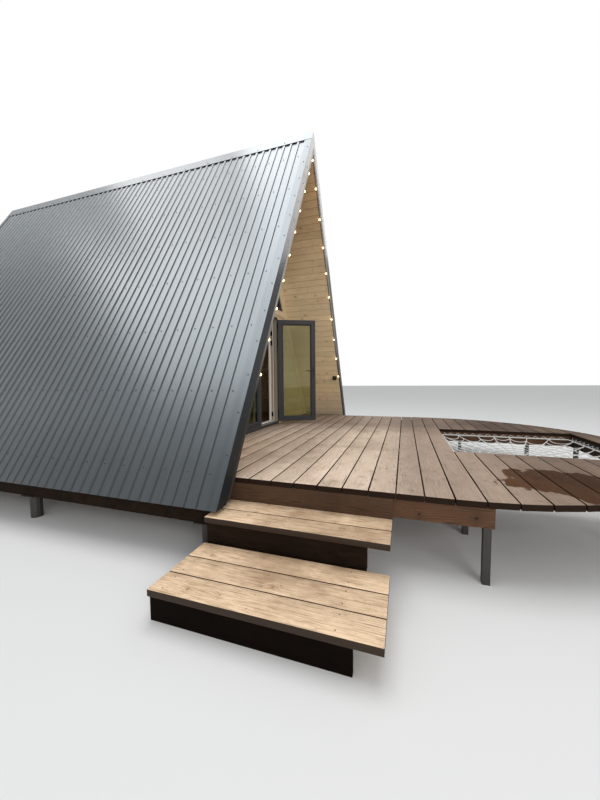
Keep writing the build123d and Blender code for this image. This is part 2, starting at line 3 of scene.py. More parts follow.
import bmesh
import bpy
import numpy as np
from bpy.props import FloatProperty, FloatVectorProperty, IntProperty, PointerProperty
from mathutils import Matrix, Vector


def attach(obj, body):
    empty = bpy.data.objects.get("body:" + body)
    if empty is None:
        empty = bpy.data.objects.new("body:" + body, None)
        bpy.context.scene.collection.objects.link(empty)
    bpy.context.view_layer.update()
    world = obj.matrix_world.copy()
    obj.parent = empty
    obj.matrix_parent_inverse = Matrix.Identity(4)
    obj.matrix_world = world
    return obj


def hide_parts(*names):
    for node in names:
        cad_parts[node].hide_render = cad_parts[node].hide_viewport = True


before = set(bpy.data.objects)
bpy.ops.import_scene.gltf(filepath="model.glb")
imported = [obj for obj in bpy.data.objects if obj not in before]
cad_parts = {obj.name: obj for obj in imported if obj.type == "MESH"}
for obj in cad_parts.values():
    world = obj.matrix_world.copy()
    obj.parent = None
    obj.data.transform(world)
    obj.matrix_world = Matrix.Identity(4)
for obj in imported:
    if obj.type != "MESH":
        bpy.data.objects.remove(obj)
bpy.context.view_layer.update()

bl_info = {
    "name": "A-frame cabin finishes",
    "version": (1, 0, 0),
    "blender": (4, 5, 0),
    "location": "3D View > Sidebar > Cabin",
    "description": "Boards, fixings, ropes, lamps and finishes for a timber A-frame cabin with a deck",
    "category": "Object",
}

# Places shared with the solids, in metres. The roof planes are the planes of the sheets' crests.
DECK_TOP = 0.6
APEX = 5.2
ROOF_HALF = 2.74
PITCH = math.atan2(APEX - DECK_TOP, ROOF_HALF)
RISE, RUN = math.sin(PITCH), math.cos(PITCH)
LINING_IN, TRIM_IN = 0.168, 0.348
ROOF_LENGTH = 6.9
SHEET_FOOT = 0.432
SHEET_RUN = (APEX - SHEET_FOOT) / RISE
VALLEY = 0.012
LINING_FOOT, LINING_BOARD = 0.45, 0.114
WALL_FRONT, WALL_REAR = 0.95, 6.6
UNIT_LOW, UNIT_HIGH, UNIT_TOP = -0.84, 0.74, 2.6
WINDOW_SILL = 2.76
HINGE = (0.691, 0.92)
SWING = math.radians(116.7)
LEAF_NEAR, LEAF_FAR, LEAF_LOW, LEAF_HIGH = 0.006, 0.712, 0.655, 2.545
LEAF_OUT, LEAF_IN = 0.012, 0.068
DECK_X = (-2.5, 2.36)
DECK_MIDDLE, DECK_RADIUS = sum(DECK_X) / 2, (DECK_X[1] - DECK_X[0]) / 2
DECK_FROM, DECK_ROUND_Y = 0.091, -1.7
NET_X = (-0.92, 0.78)
NET_Y = (-3.709, -1.909)
STEP_FROM, STEP_BOARD, STEP_GAP = -2.5003, 0.186, 0.006
STEP_TOPS = (0.401, 0.206)
CABLE_Y, CABLE_CLEAR, CABLE_TURN = 0.02, 0.0003, 0.03
SOCKET_BELOW, CABLE_END_BELOW = 0.038, 0.028
MILLI = 0.001

# Screws as (reach, radius), in radii: a washer with its head, and a countersunk head.
WASHER = ((0.0, 1.0), (0.14, 1.0), (0.22, 0.86), (0.22, 0.5), (0.74, 0.5), (0.82, 0.4))
SUNK_HEAD = ((0.0, 1.0), (0.10, 1.0), (0.14, 0.8), (0.10, 0.35))
SUNK_BY = 0.0006

MADE = {}


def a_length(name, default, description):
    return FloatProperty(name=name, description=description, default=default, unit="LENGTH")


def a_count(name, default, description, low=1):
    return IntProperty(name=name, description=description, default=default, min=low)


def a_colour(name, default, description):
    return FloatVectorProperty(name=name, description=description, default=default, subtype="COLOR")


class RoofSizes(bpy.types.PropertyGroup):
    """Sizes of the roof metal and its fixings."""
    rib_pitch: a_length("Rib pitch", 0.115, "From one rib to the next")
    ribs_a_sheet: a_count("Ribs a sheet", 10, "Ribs between two side laps", 2)
    lap: a_length("Lap height", 0.0016, "How far a side lap stands over its rib")
    screw_rows: a_count("Screw rows", 7, "Rows of screws down the slope")
    first_row: a_length("First row", 0.6, "From the ridge to the first row")
    row_step: a_length("Row step", 0.777, "From one row to the next")
    screw: a_length("Washer radius", 0.0085, "Radius of a screw's washer")


class BoardSizes(bpy.types.PropertyGroup):
    """Sizes of the boards that lie on the deck, the steps and the walls."""
    pitch: a_length("Deck board pitch", 0.2, "Width of a deck board with its joint")
    gap: a_length("Joint", 0.009, "Open joint between deck boards")
    thickness: a_length("Thickness", 0.045, "Thickness of a deck board")
    edge: a_length("Edge radius", 0.005, "Rounding of a board's edges")
    warp: a_length("Warp", 0.0012, "How far a board wanders from straight")
    cladding: a_length("Cladding pitch", 0.145, "Height of one wall board")
    cladding_depth: a_length("Cladding depth", 0.014, "How far the wall boards stand proud")
    screw: a_length("Screw head", 0.0045, "Radius of a deck screw's head")


class NetSizes(bpy.types.PropertyGroup):
    """Sizes of the rope net."""
    radials: a_count("Radial ropes", 24, "Ropes from the hub to the border", 6)
    rings: a_count("Rings", 11, "Rings of rope round the hub", 2)
    ring_step: a_length("Ring step", 0.105, "From one ring to the next")
    rope: a_length("Rope", 0.012, "Diameter of the ropes")
    sag: a_length("Sag", 0.13, "How far the middle hangs below the border")
    border: a_length("Border", 0.05, "From the opening's edge to the border rope")
    lacing: a_length("Lacing pitch", 0.1, "From one turn of the lacing to the next")


class FittingSizes(bpy.types.PropertyGroup):
    """Sizes of the door and window fittings."""
    bead: a_length("Glazing bead", 0.018, "Width of the bead round a pane")
    gasket: a_length("Gasket", 0.004, "Width of the dark seal inside the bead")
    lever: a_length("Lever", 0.12, "Length of the lever")
    lever_reach: a_length("Lever reach", 0.045, "From the leaf to the lever's far side")
    cylinder: a_length("Key cylinder", 0.0085, "Radius of the key cylinder's face")


class LampSizes(bpy.types.PropertyGroup):
    """Sizes of the lamp string."""
    pitch: a_length("Lamp pitch", 0.433, "From one lamp to the next along the roof edge")
    count: a_count("Lamps a side", 9, "Lamps on each slope")
    cable: a_length("Cable", 0.008, "Diameter of the cable")
    glow: FloatProperty(name="Glow", description="Strength of a lit lamp", default=5.0, min=0)


class Colours(bpy.types.PropertyGroup):
    """Colours of the main finishes."""
    steel: a_colour("Roof metal", (0.108, 0.122, 0.133), "Coating of the sheets")
    pine: a_colour("Pine", (0.69, 0.553, 0.363), "Oiled pine of the lining")
    deck: a_colour("Deck", (0.73, 0.59, 0.475), "Weathered deck boards")
    steps: a_colour("Steps", (0.78, 0.58, 0.39), "Boards of the steps")
    stain: a_colour("Dark stain", (0.125, 0.062, 0.033), "Stained timber of frames and risers")
    frames: a_colour("Frames", (0.034, 0.033, 0.037), "Door and window frames")
    rope: a_colour("Rope", (0.72, 0.71, 0.68), "Ropes of the net")


def operation(kind, swapped=False, **settings):
    """A method that adds a Math node of one kind; swapped puts the value behind the other term."""
    def apply(value, *others):
        terms = (*others, value) if swapped else (value, *others)
        return value.finish.make("ShaderNodeMath", {"operation": kind, **settings}, dict(enumerate(terms)))
    return apply


class Value:
    """A shader socket in Python arithmetic: each operation adds the Math node that does it."""
    __add__ = __radd__ = operation("ADD")
    __sub__, __rsub__ = operation("SUBTRACT"), operation("SUBTRACT", True)
    __mul__ = __rmul__ = operation("MULTIPLY")
    __truediv__, __rtruediv__ = operation("DIVIDE"), operation("DIVIDE", True)
    __gt__ = operation("GREATER_THAN")
    __abs__ = operation("ABSOLUTE")
    floor, fraction, sine, root = map(operation, ("FLOOR", "FRACT", "SINE", "SQRT"))
    clamped_sum = operation("ADD", use_clamp=True)

    def __init__(self, finish, socket):
        self.finish = finish
        self.socket = socket

    def limit(self):
        """The value kept between 0 and 1."""
        return self.clamped_sum(0.0)

    def smooth(self, low, high):
        """A soft step from 0 at low to 1 at high."""
        inputs = {"Value": self, "From Min": low, "From Max": high}
        return self.finish.make("ShaderNodeMapRange", {"interpolation_type": "SMOOTHSTEP"}, inputs)


class Finish:
    """One material under construction."""

    def __init__(self, name, **constants):
        self.material = bpy.data.materials.new(name)
        self.material.use_nodes = True
        self.tree = self.material.node_tree
        self.shader = self.tree.nodes["Principled BSDF"]
        self.feed(**constants)

    def make(self, kind, settings=None, inputs=None, output=0):
        """Any node: its settings are set first, then the values or links of its sockets. Gives one of its
        outputs, or all where output is None."""
        node = self.tree.nodes.new(kind)
        for key, value in (settings or {}).items():
            setattr(node, key, value)
        for key, value in (inputs or {}).items():
            self.join(node.inputs[key], value)
        if output is None:
            return [Value(self, socket) for socket in node.outputs]
        return Value(self, node.outputs[output])

    def join(self, socket, value):
        if isinstance(value, Value):
            self.tree.links.new(value.socket, socket)
        elif isinstance(value, (tuple, list)) and socket.type == "RGBA" and len(value) == 3:
            socket.default_value = (*value, 1)
        else:
            socket.default_value = value

    def feed(self, **inputs):
        """Values or links for the shader's sockets, named with _ for a space. Gives the material."""
        for socket, value in inputs.items():
            self.join(self.shader.inputs[socket.replace("_", " ")], value)
        return self.material

    def here(self):
        """The point's own place, in object coordinates."""
        return self.make("ShaderNodeTexCoord", output="Object")

    def split(self, vector):
        """The three parts of a vector."""
        return self.make("ShaderNodeSeparateXYZ", None, {0: vector}, None)

    def facing(self):
        """The surface normal as three values."""
        return self.split(self.make("ShaderNodeNewGeometry", output="Normal"))

    def vector(self, *parts):
        return self.make("ShaderNodeCombineXYZ", None, dict(enumerate(parts)))

    def noise(self, vector, scale=1.0, detail=2.0, roughness=0.5):
        inputs = {"Vector": vector, "Scale": scale, "Detail": detail, "Roughness": roughness}
        return self.make("ShaderNodeTexNoise", None, inputs)

    def scatter(self, u, v, cell):
        """Distance to the nearest of points scattered one to a cell, and a random value of that point."""
        inputs = {"Vector": self.vector(u, v, 0.0), "Scale": 1.0 / cell}
        outputs = self.make("ShaderNodeTexVoronoi", {"voronoi_dimensions": "2D"}, inputs, None)
        return outputs[0] * cell, self.split(outputs[1])[0]

    def chance(self, number):
        """A random value that belongs to a whole number."""
        return self.make("ShaderNodeTexWhiteNoise", {"noise_dimensions": "1D"}, {"W": number})

    def mix(self, first, second, amount, blend="MIX"):
        """Two colours blended; sockets 0, 6, 7 and 2 are the colour ones of the Mix node."""
        settings = {"data_type": "RGBA", "blend_type": blend}
        return self.make("ShaderNodeMix", settings, {0: amount, 6: first, 7: second}, 2)

    def toned(self, colour, tone):
        """A colour made lighter or darker by a value."""
        return self.mix(colour, self.vector(tone, tone, tone), 1.0, "MULTIPLY")

    def bump(self, height, distance, strength):
        """A height as a normal, by way of a Bump node."""
        inputs = {"Height": height, "Distance": distance, "Strength": strength}
        return self.make("ShaderNodeBump", None, inputs)


def shade(colour, factor):
    """A colour times a number."""
    return tuple(part * factor for part in colour)


def timber(name, light, dark, seed, along="y", across="z", pitch=0.2, start=0.0, face=0.0, gap=0.009,
           rings=0.3, knots=0.5, knot=0.012, share=0.3, rough=0.65, weather=0.0, spread=0.12, grit=0.25,
           seam=0.0, ior=1.25, edge=None, shade_fades=(), butt=0.0, mottle=0.0):
    """Sawn boards. Growth rings are the fraction of the distance from a pith line that wanders beside and
    below each board, pushed aside round scattered knots; a fine noise makes the fibre, and each board has
    its own tone. across is an axis, or "slope" for boards stacked up the roof; start and pitch say where a
    board begins and face where its surface lies. gap is the distance between rings, knot the size of the
    knots and share how many cells hold one. seam darkens the joints, edge is the colour of painted shade on
    the sides that are not the face, each fade is a tint of painted shade that grows along an axis from one
    place to another, butt is the length of the boards where their end joints show, and mottle strengthens a
    coarse stain."""
    finish = Finish(name, IOR=ior)
    here = finish.here()
    axes = dict(zip("xyz", finish.split(here)))
    length = axes[along]
    if across == "slope":
        width = abs(axes["x"]) * -RUN + axes["z"] * RISE
        depth = abs(axes["x"]) * RISE + axes["z"] * RUN - face
    else:
        thick = ({"x", "y", "z"} - {along, across}).pop()
        width, depth = axes[across], axes[thick] - face
    board = ((width - start) / pitch).floor()
    aside = width - start - (board + 0.5) * pitch
    luck, other = finish.chance(board + seed), finish.chance(board + (seed + 0.4))
    shift = luck * 53.0

    def streaks(lengthwise, sideways, detail, roughness=0.5, moved=shift):
        """Noise drawn out along the boards."""
        place = finish.vector(length * lengthwise + moved, width * sideways, depth * sideways)
        return finish.noise(place, 1.0, detail, roughness)

    wander = finish.noise(finish.vector(length * 0.9 + shift, other * 9.0, 2.0), 1.0, 1.0) - 0.5
    climb = finish.noise(finish.vector(length * 1.2 + shift, 5.0, other * 7.0), 1.0, 2.0) - 0.5
    ripple = streaks(3.0, 24.0, 2.0) - 0.5
    beside = aside - (other - 0.5) * (0.9 * pitch) - wander * 0.05
    below = depth + climb * 0.11 + other * 0.03 + 0.012
    distance, lot = finish.scatter(length + shift, width, 0.19)
    kept = lot > (1.0 - share)
    size = (lot - (1.0 - share)) * (knot / share) + knot * 0.5
    spot = (1 - (distance / size).smooth(0.55, 1.1)) * kept
    halo = (1 - (distance / (size * 6.0)).smooth(0.0, 1.0)) * kept
    line = (((beside * beside + below * below).root() + halo * 0.02) / gap + ripple * 2.4).fraction()
    ring = line.smooth(0.25, 1.0)
    fibre = streaks(9.0, 190.0, 3.0, 0.6, 0.0)
    blotch = streaks(2.1, 6.0, 5.0, 0.62)
    speck = finish.noise(finish.vector(length * 0.6, width, depth), 170.0, 2.0, 0.7)
    grain = ring * rings + (fibre - 0.5) * 0.6 + (blotch - 0.42) * 0.9 + halo * 0.3 + (speck - 0.5) * grit
    if mottle:
        grain = grain + (streaks(8.0, 42.0, 4.0, 0.7) - 0.5) * mottle
    tone = luck * (2 * spread) + (1.0 - spread)
    tint = finish.vector(tone, tone * 0.99 + 0.004, tone * 0.97 + 0.01)
    colour = finish.mix(finish.mix(light, dark, grain.limit()), tint, 1.0, "MULTIPLY")
    colour = finish.mix(colour, shade(dark, 0.22), (spot * knots).limit())
    height = fibre * 0.35 - ring * 0.3 - spot * 0.4
    # Painted shade: each fade multiplies the colour by a darker tint along an axis.
    drift = finish.noise(here, 1.7, 3.0) - 0.5 if shade_fades else 0.0
    for axis, near, far, into in shade_fades:
        amount = (axes[axis] + drift * (0.7 * abs(far - near))).smooth(near, far)
        colour = finish.mix(colour, into, amount, "MULTIPLY")
    if seam:
        inner = pitch / 2 - abs(aside)
        colour = finish.mix(colour, shade(dark, 0.3), (1 - inner.smooth(0.002, 0.006)) * seam)
    if butt:
        ends = abs((length / butt + other * 7.0).fraction() - 0.5) * butt
        colour = finish.mix(colour, shade(dark, 0.3), (1 - ends.smooth(0.001, 0.004)) * 0.6)
    if weather:
        patch = finish.noise(here, 1.6, 5.0, 0.65).smooth(0.42, 0.68)
        colour = finish.mix(colour, shade(dark, 0.7), patch * weather)
        crack = streaks(2.6, 95.0, 1.0).smooth(0.69 - weather * 0.08, 0.75)
        colour = finish.mix(colour, shade(dark, 0.4), crack * 0.7)
        height = height - crack * 0.8
    if name == "deck boards":
        colour = spill(finish, axes, colour)
    # Painted shade: the sides that are not the face take the dark edge colour.
    if edge:
        top = abs(dict(zip("xyz", finish.facing()))[thick]).smooth(0.55, 0.85)
        colour = finish.mix(edge, colour, top)
    gloss = (fibre * 0.2 + (rough - 0.1)).limit()
    return finish.feed(Base_Color=colour, Roughness=gloss, Normal=finish.bump(height, 0.0016, 0.6))


def spill(finish, axes, colour):
    """Damp timber: an oval with a wandering rim, darker than the dry boards."""
    rim = finish.noise(finish.vector(axes["x"] * 2.6, axes["y"] * 3.6, 0.0), 1.0, 3.0, 0.6) - 0.5
    east, north = (axes["x"] + 1.87) / 0.40, (axes["y"] + 2.58) / 0.47
    wet = 1 - ((east * east + north * north).root() + rim * 1.5).smooth(0.90, 0.98)
    return finish.mix(colour, (0.26, 0.155, 0.085), wet, "MULTIPLY")


def coated_steel(name, colour, ior=1.5):
    """Factory coated sheet: a faint mottle, dust lines that run down the slope, painted shade that darkens the
    foot and a soft gloss. The upright front and rear faces are darker with painted shade."""
    finish = Finish(name, IOR=ior)
    here = finish.here()
    x, y, z = finish.split(here)
    slope = abs(x) * RUN - z * RISE
    mottle = finish.noise(here, 5.0, 3.0)
    runs = finish.noise(finish.vector(slope * 0.7, y * 28.0, x * 0.5), 1.0, 3.0, 0.55)
    sheet = finish.chance((y / 1.15).floor() + 3.0)
    # Painted shade: faces that look along y, the upright front and rear faces, get a much darker base colour.
    front = abs(finish.facing()[1]).smooth(0.8, 0.95)
    # Painted shade: the sheet's colour darkens towards the foot, down to 0.64 of itself below z 0.45.
    foot = z.smooth(0.45, 1.3) * 0.36 + 0.64
    tone = (mottle - 0.5) * 0.12 + (runs - 0.5) * 0.16 + (sheet - 0.5) * 0.06 + 1.0
    body = finish.toned(colour, tone * (1 - front * 0.75) * foot)
    dust = runs.smooth(0.55, 0.8) * 0.25
    return finish.feed(
        Base_Color=finish.mix(body, (0.32, 0.32, 0.31), dust * 0.12),
        Metallic=(1 - front) * 0.75,
        Roughness=(mottle * 0.06 + dust * 0.3 + 0.26).limit(),
        Normal=finish.bump(finish.noise(here, 90.0, 1.0), 0.0004, 0.12),
    )


def plain(name, colour, rough=0.45, vary=0.12, scale=24.0, metal=0.0, bump=0.0002, ior=1.45):
    """A smooth coating or plastic with a slight change of tone and gloss over it."""
    finish = Finish(name, Metallic=metal, IOR=ior)
    here = finish.here()
    cloud, fine = finish.noise(here, scale, 3.0), finish.noise(here, scale * 22.0, 2.0)
    body = finish.toned(colour, (cloud - 0.5) * (2.0 * vary) + 1.0)
    gloss = (cloud * 0.14 + fine * 0.08 + rough - 0.11).limit()
    return finish.feed(Base_Color=body, Roughness=gloss, Normal=finish.bump(fine, bump, 0.5))


def foiled_profile(name, colour, core):
    """Foil on the faces of a window profile, and its bare core on the sides within the opening."""
    finish = Finish(name, IOR=1.3)
    cloud = finish.noise(finish.here(), 12.0, 3.0)
    body = finish.mix(core, colour, abs(finish.facing()[1]).smooth(0.4, 0.7))
    body = finish.toned(body, (cloud - 0.5) * 0.16 + 1.0)
    return finish.feed(Base_Color=body, Roughness=cloud * 0.14 + 0.32)


def tinted_glass(name):
    """Float glass with a grey-green tint and a trace of dust."""
    finish = Finish(name, IOR=1.18, Transmission_Weight=1.0)
    dust = finish.noise(finish.here(), 9.0, 4.0)
    tint = finish.mix((0.58, 0.63, 0.40), (0.50, 0.54, 0.34), dust)
    return finish.feed(Base_Color=tint, Roughness=dust.smooth(0.5, 0.9) * 0.02)


def lamp_glass(name, glow):
    """A lit frosted bulb, its warm colour a little uneven."""
    finish = Finish(name, Roughness=0.3, Emission_Strength=glow)
    cloud = finish.noise(finish.here(), 60.0, 1.0)
    glass = finish.mix((1.0, 0.86, 0.62), (1.0, 0.78, 0.5), cloud)
    light = finish.mix((1.0, 0.74, 0.40), (1.0, 0.62, 0.28), cloud)
    return finish.feed(Base_Color=glass, Emission_Color=light)


def rope_finish(name, colour):
    """Laid rope: three strands as slanting ridges on the rope's own map, with fine yarns across them, and
    painted shade in the grooves between the strands.
    """
    finish = Finish(name, Roughness=0.85)
    along, around, _ = finish.split(finish.make("ShaderNodeTexCoord", output="UV"))
    strand = abs((along / 0.036 + around * 3.0).fraction() - 0.5) * 2.0
    yarn = ((along / 0.004 - around * 2.0) * math.tau).sine()
    dirt = finish.noise(finish.here(), 7.0, 3.0).smooth(0.35, 0.75)
    # Painted shade: the grooves between the strands are darker.
    body = finish.mix(colour, shade(colour, 0.35), strand.smooth(0.55, 1.0))
    body = finish.mix(body, shade(colour, 0.6), dirt * 0.35)
    return finish.feed(Base_Color=body, Normal=finish.bump(yarn * 0.12 - strand, 0.0018, 0.9))


def xyz(x, y, z):
    """Arrays of x, y and z as points."""
    return np.stack(np.broadcast_arrays(x, y, z), -1)


def unit(vectors):
    """Vectors divided by their lengths."""
    return vectors / np.linalg.norm(vectors, axis=-1, keepdims=True)


def half_width(inward, level):
    """Half width of the plane that lies inward of the roof's crests, at a height."""
    return ROOF_HALF - (level - DECK_TOP) / math.tan(PITCH) - inward / RISE


def on_roof(side, run, y, out):
    """Points on one slope: run is measured down it from the ridge, and out stands square to it."""
    return xyz(side * (run * RUN + out * RISE), y, APEX - run * RISE + out * RUN)


def on_leaf(x, z, depth):
    """Points on the open door leaf: x from the hinge axis along it, depth towards its indoor face."""
    east = HINGE[0] - x * math.cos(SWING) - depth * math.sin(SWING)
    north = HINGE[1] - x * math.sin(SWING) + depth * math.cos(SWING)
    return xyz(east, north, z)


def on_wall(y, outward):
    """A map from (x, z, depth) to points on an upright wall face at y that looks along outward."""
    return lambda x, z, depth: xyz(x, y - outward * depth, z)


def walls(rings, closed=False):
    """Points and faces of several shells. rings holds shells, stations and points round: each loop is
    joined to the next station's, and the ends get one flat face each, or meet each other if closed."""
    copies, stations, around = rings.shape[:3]
    index = np.arange(copies * stations * around).reshape(copies, stations, around)
    beside = np.roll(index, -1, axis=2)
    if closed:
        quads = np.stack((index, beside, np.roll(beside, -1, axis=1), np.roll(index, -1, axis=1)), -1)
        return rings.reshape(-1, 3), [quads.reshape(-1, 4)]
    quads = np.stack((index[:, :-1], beside[:, :-1], beside[:, 1:], index[:, 1:]), -1)
    return rings.reshape(-1, 3), [quads.reshape(-1, 4), index[:, 0, ::-1], index[:, -1]]


def piece(name, parts, finish, body="cabin", crease=35.0, stands_for=None, uv=None):
    """One finished object from arrays of points and faces, with its normals turned outwards."""
    points, blocks, first = [], [], 0
    for part_points, part_faces in parts:
        points.append(part_points)
        blocks += [np.asarray(block) + first for block in part_faces]
        first += len(part_points)
    points = np.concatenate(points)
    corners = np.concatenate([block.ravel() for block in blocks])
    sizes = np.concatenate([np.full(len(block), block.shape[1]) for block in blocks])
    mesh = bpy.data.meshes.new(name)
    mesh.vertices.add(len(points))
    mesh.vertices.foreach_set("co", points.astype(np.float32).ravel())
    mesh.loops.add(len(corners))
    mesh.loops.foreach_set("vertex_index", corners.astype(np.int32))
    mesh.polygons.add(len(sizes))
    mesh.polygons.foreach_set("loop_start", np.concatenate(([0], np.cumsum(sizes)[:-1])).astype(np.int32))
    mesh.update(calc_edges=True)
    if uv is not None:
        mesh.uv_layers.new(name="rope").data.foreach_set("uv", uv.astype(np.float32).ravel())
    work = bmesh.new()
    work.from_mesh(mesh)
    bmesh.ops.recalc_face_normals(work, faces=work.faces)
    work.to_mesh(mesh)
    work.free()
    enter(name, mesh, finish, body, stands_for)
    mesh.set_sharp_from_angle(angle=math.radians(crease))


def dress(mesh, material):
    """One finish in place of what the mesh had."""
    mesh.materials.clear()
    mesh.materials.append(material)


def enter(name, mesh, finish, body, stands_for):
    """Put a mesh into the scene, smooth, with its finish, its body and the node that it stands for."""
    mesh.polygons.foreach_set("use_smooth", np.ones(len(mesh.polygons), bool))
    dress(mesh, MADE[finish])
    thing = bpy.data.objects.new(name, mesh)
    bpy.context.scene.collection.objects.link(thing)
    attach(thing, body)
    if stands_for:
        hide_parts(stands_for)


def circle(radius, sides):
    """Points at even turns round a circle: radius times cosine and sine."""
    turn = np.linspace(0, math.tau, sides, endpoint=False)
    return np.stack((radius * np.cos(turn), radius * np.sin(turn)), -1)


def rounded(width, height, radius, steps=3):
    """A rectangle with round corners: a quarter circle about each corner's centre."""
    quarter = np.linspace(0, math.pi / 2, steps + 1)
    centre = np.array(((1, 1), (-1, 1), (-1, -1), (1, -1))) * ((width / 2 - radius), (height / 2 - radius))
    turn = quarter[None] + (np.arange(4) * math.pi / 2)[:, None]
    return (centre[:, None] + radius * np.stack((np.cos(turn), np.sin(turn)), -1)).reshape(-1, 2)


def layers(outline, *steps):
    """An outline at several depths, as x, y and depth: a step holds its depth and one or two scales."""
    depth, wide, high = np.array([(*step, step[1])[:3] for step in steps]).T[..., None]
    return outline[:, 0] * wide, outline[:, 1] * high, depth


def lathe(profile, sides):
    """Rings round the z axis: the profile's reach along it and radius, turned through a full circle."""
    reach, radius = np.array(profile, float).T[..., None]
    around = circle(1.0, sides)
    return xyz(radius * around[:, 0], radius * around[:, 1], reach)


def copies(rings, origins, normals, across):
    """One copy of the rings at each origin: their third axis is the normal, and the first lies nearest to
    across."""
    origins = np.atleast_2d(np.asarray(origins, float))
    normals = unit(np.broadcast_to(np.asarray(normals, float), origins.shape))
    second = unit(np.cross(normals, np.broadcast_to(across, origins.shape)))
    axes = np.stack((np.cross(second, normals), second, normals), -1)
    return walls(np.einsum("kab,spb->kspa", axes, rings) + origins[:, None, None])


def sweep(paths, outline):
    """An outline carried along paths: at each station it stands square to the run, with its second axis
    as near to upright as it can be."""
    run = unit(np.gradient(paths, axis=1))
    side = unit(np.cross(run, (0.0, 0.0, 1.0)))
    rise = np.cross(side, run)
    return paths[:, :, None] + side[:, :, None] * outline[:, :1] + rise[:, :, None] * outline[:, 1:]


def mitred(corners, profile):
    """A profile of (inward, depth) pairs carried round a polygon and mitred at its corners: each corner
    moves in along the sum of its two sides' normals, divided by one plus their product."""
    corners, profile = np.asarray(corners, float), np.asarray(profile, float)
    side = unit(np.roll(corners, -1, axis=0) - corners)
    normal = np.stack((-side[:, 1], side[:, 0]), -1)
    before = np.roll(normal, 1, axis=0)
    mitre = (normal + before) / (1 + (normal * before).sum(1, keepdims=True))
    flat = corners[:, None] + mitre[:, None] * profile[None, :, :1]
    return flat[..., 0], flat[..., 1], profile[:, 1]


def planks(low, high, start, end, thickness, edge, warp, seed, stations=7):
    """Boards as (along, across, depth): a rectangle with round corners is carried from start to end, and
    a slow random drift moves each station a little sideways and up. start and end are functions of the
    place across the board."""
    outline = rounded(1.0, thickness, edge, 2)
    width = outline[:, 0] * 2
    corner = np.sign(width) * (1 - np.abs(width)) / 2
    half = (high - low)[:, None] / 2
    across = (low + high)[:, None] / 2 + np.sign(width) * half - corner
    depth = outline[:, 1] - thickness / 2
    first, last = start(across), end(across)
    share = np.linspace(0, 1, stations)[None, :, None]
    along = first[:, None] + (last - first)[:, None] * share
    drift = np.random.default_rng(seed).normal(0, warp, (2, len(low), stations, 1))
    drift = np.clip(drift, -1.5 * warp, 1.5 * warp)
    return xyz(along, across[:, None] + drift[0], depth + drift[1] - 1.5 * warp)


def sunk_screws(x, y, top, radius):
    """Countersunk screws in a level surface, their rims a little below it."""
    return copies(lathe(SUNK_HEAD, 8) * radius, xyz(x, y, top - SUNK_BY), (0, 0, 1), (1, 0, 0))


def deck_end(sign):
    """Where a deck board stops: the straight edge, or the half circle past the net."""
    def end(across):
        past = np.minimum(across - DECK_ROUND_Y, 0)
        return DECK_MIDDLE + sign * np.sqrt(np.maximum(DECK_RADIUS**2 - past**2, 0))
    return end


def constant(value):
    """A board end that is the same all across."""
    return lambda across: np.full(across.shape, value)


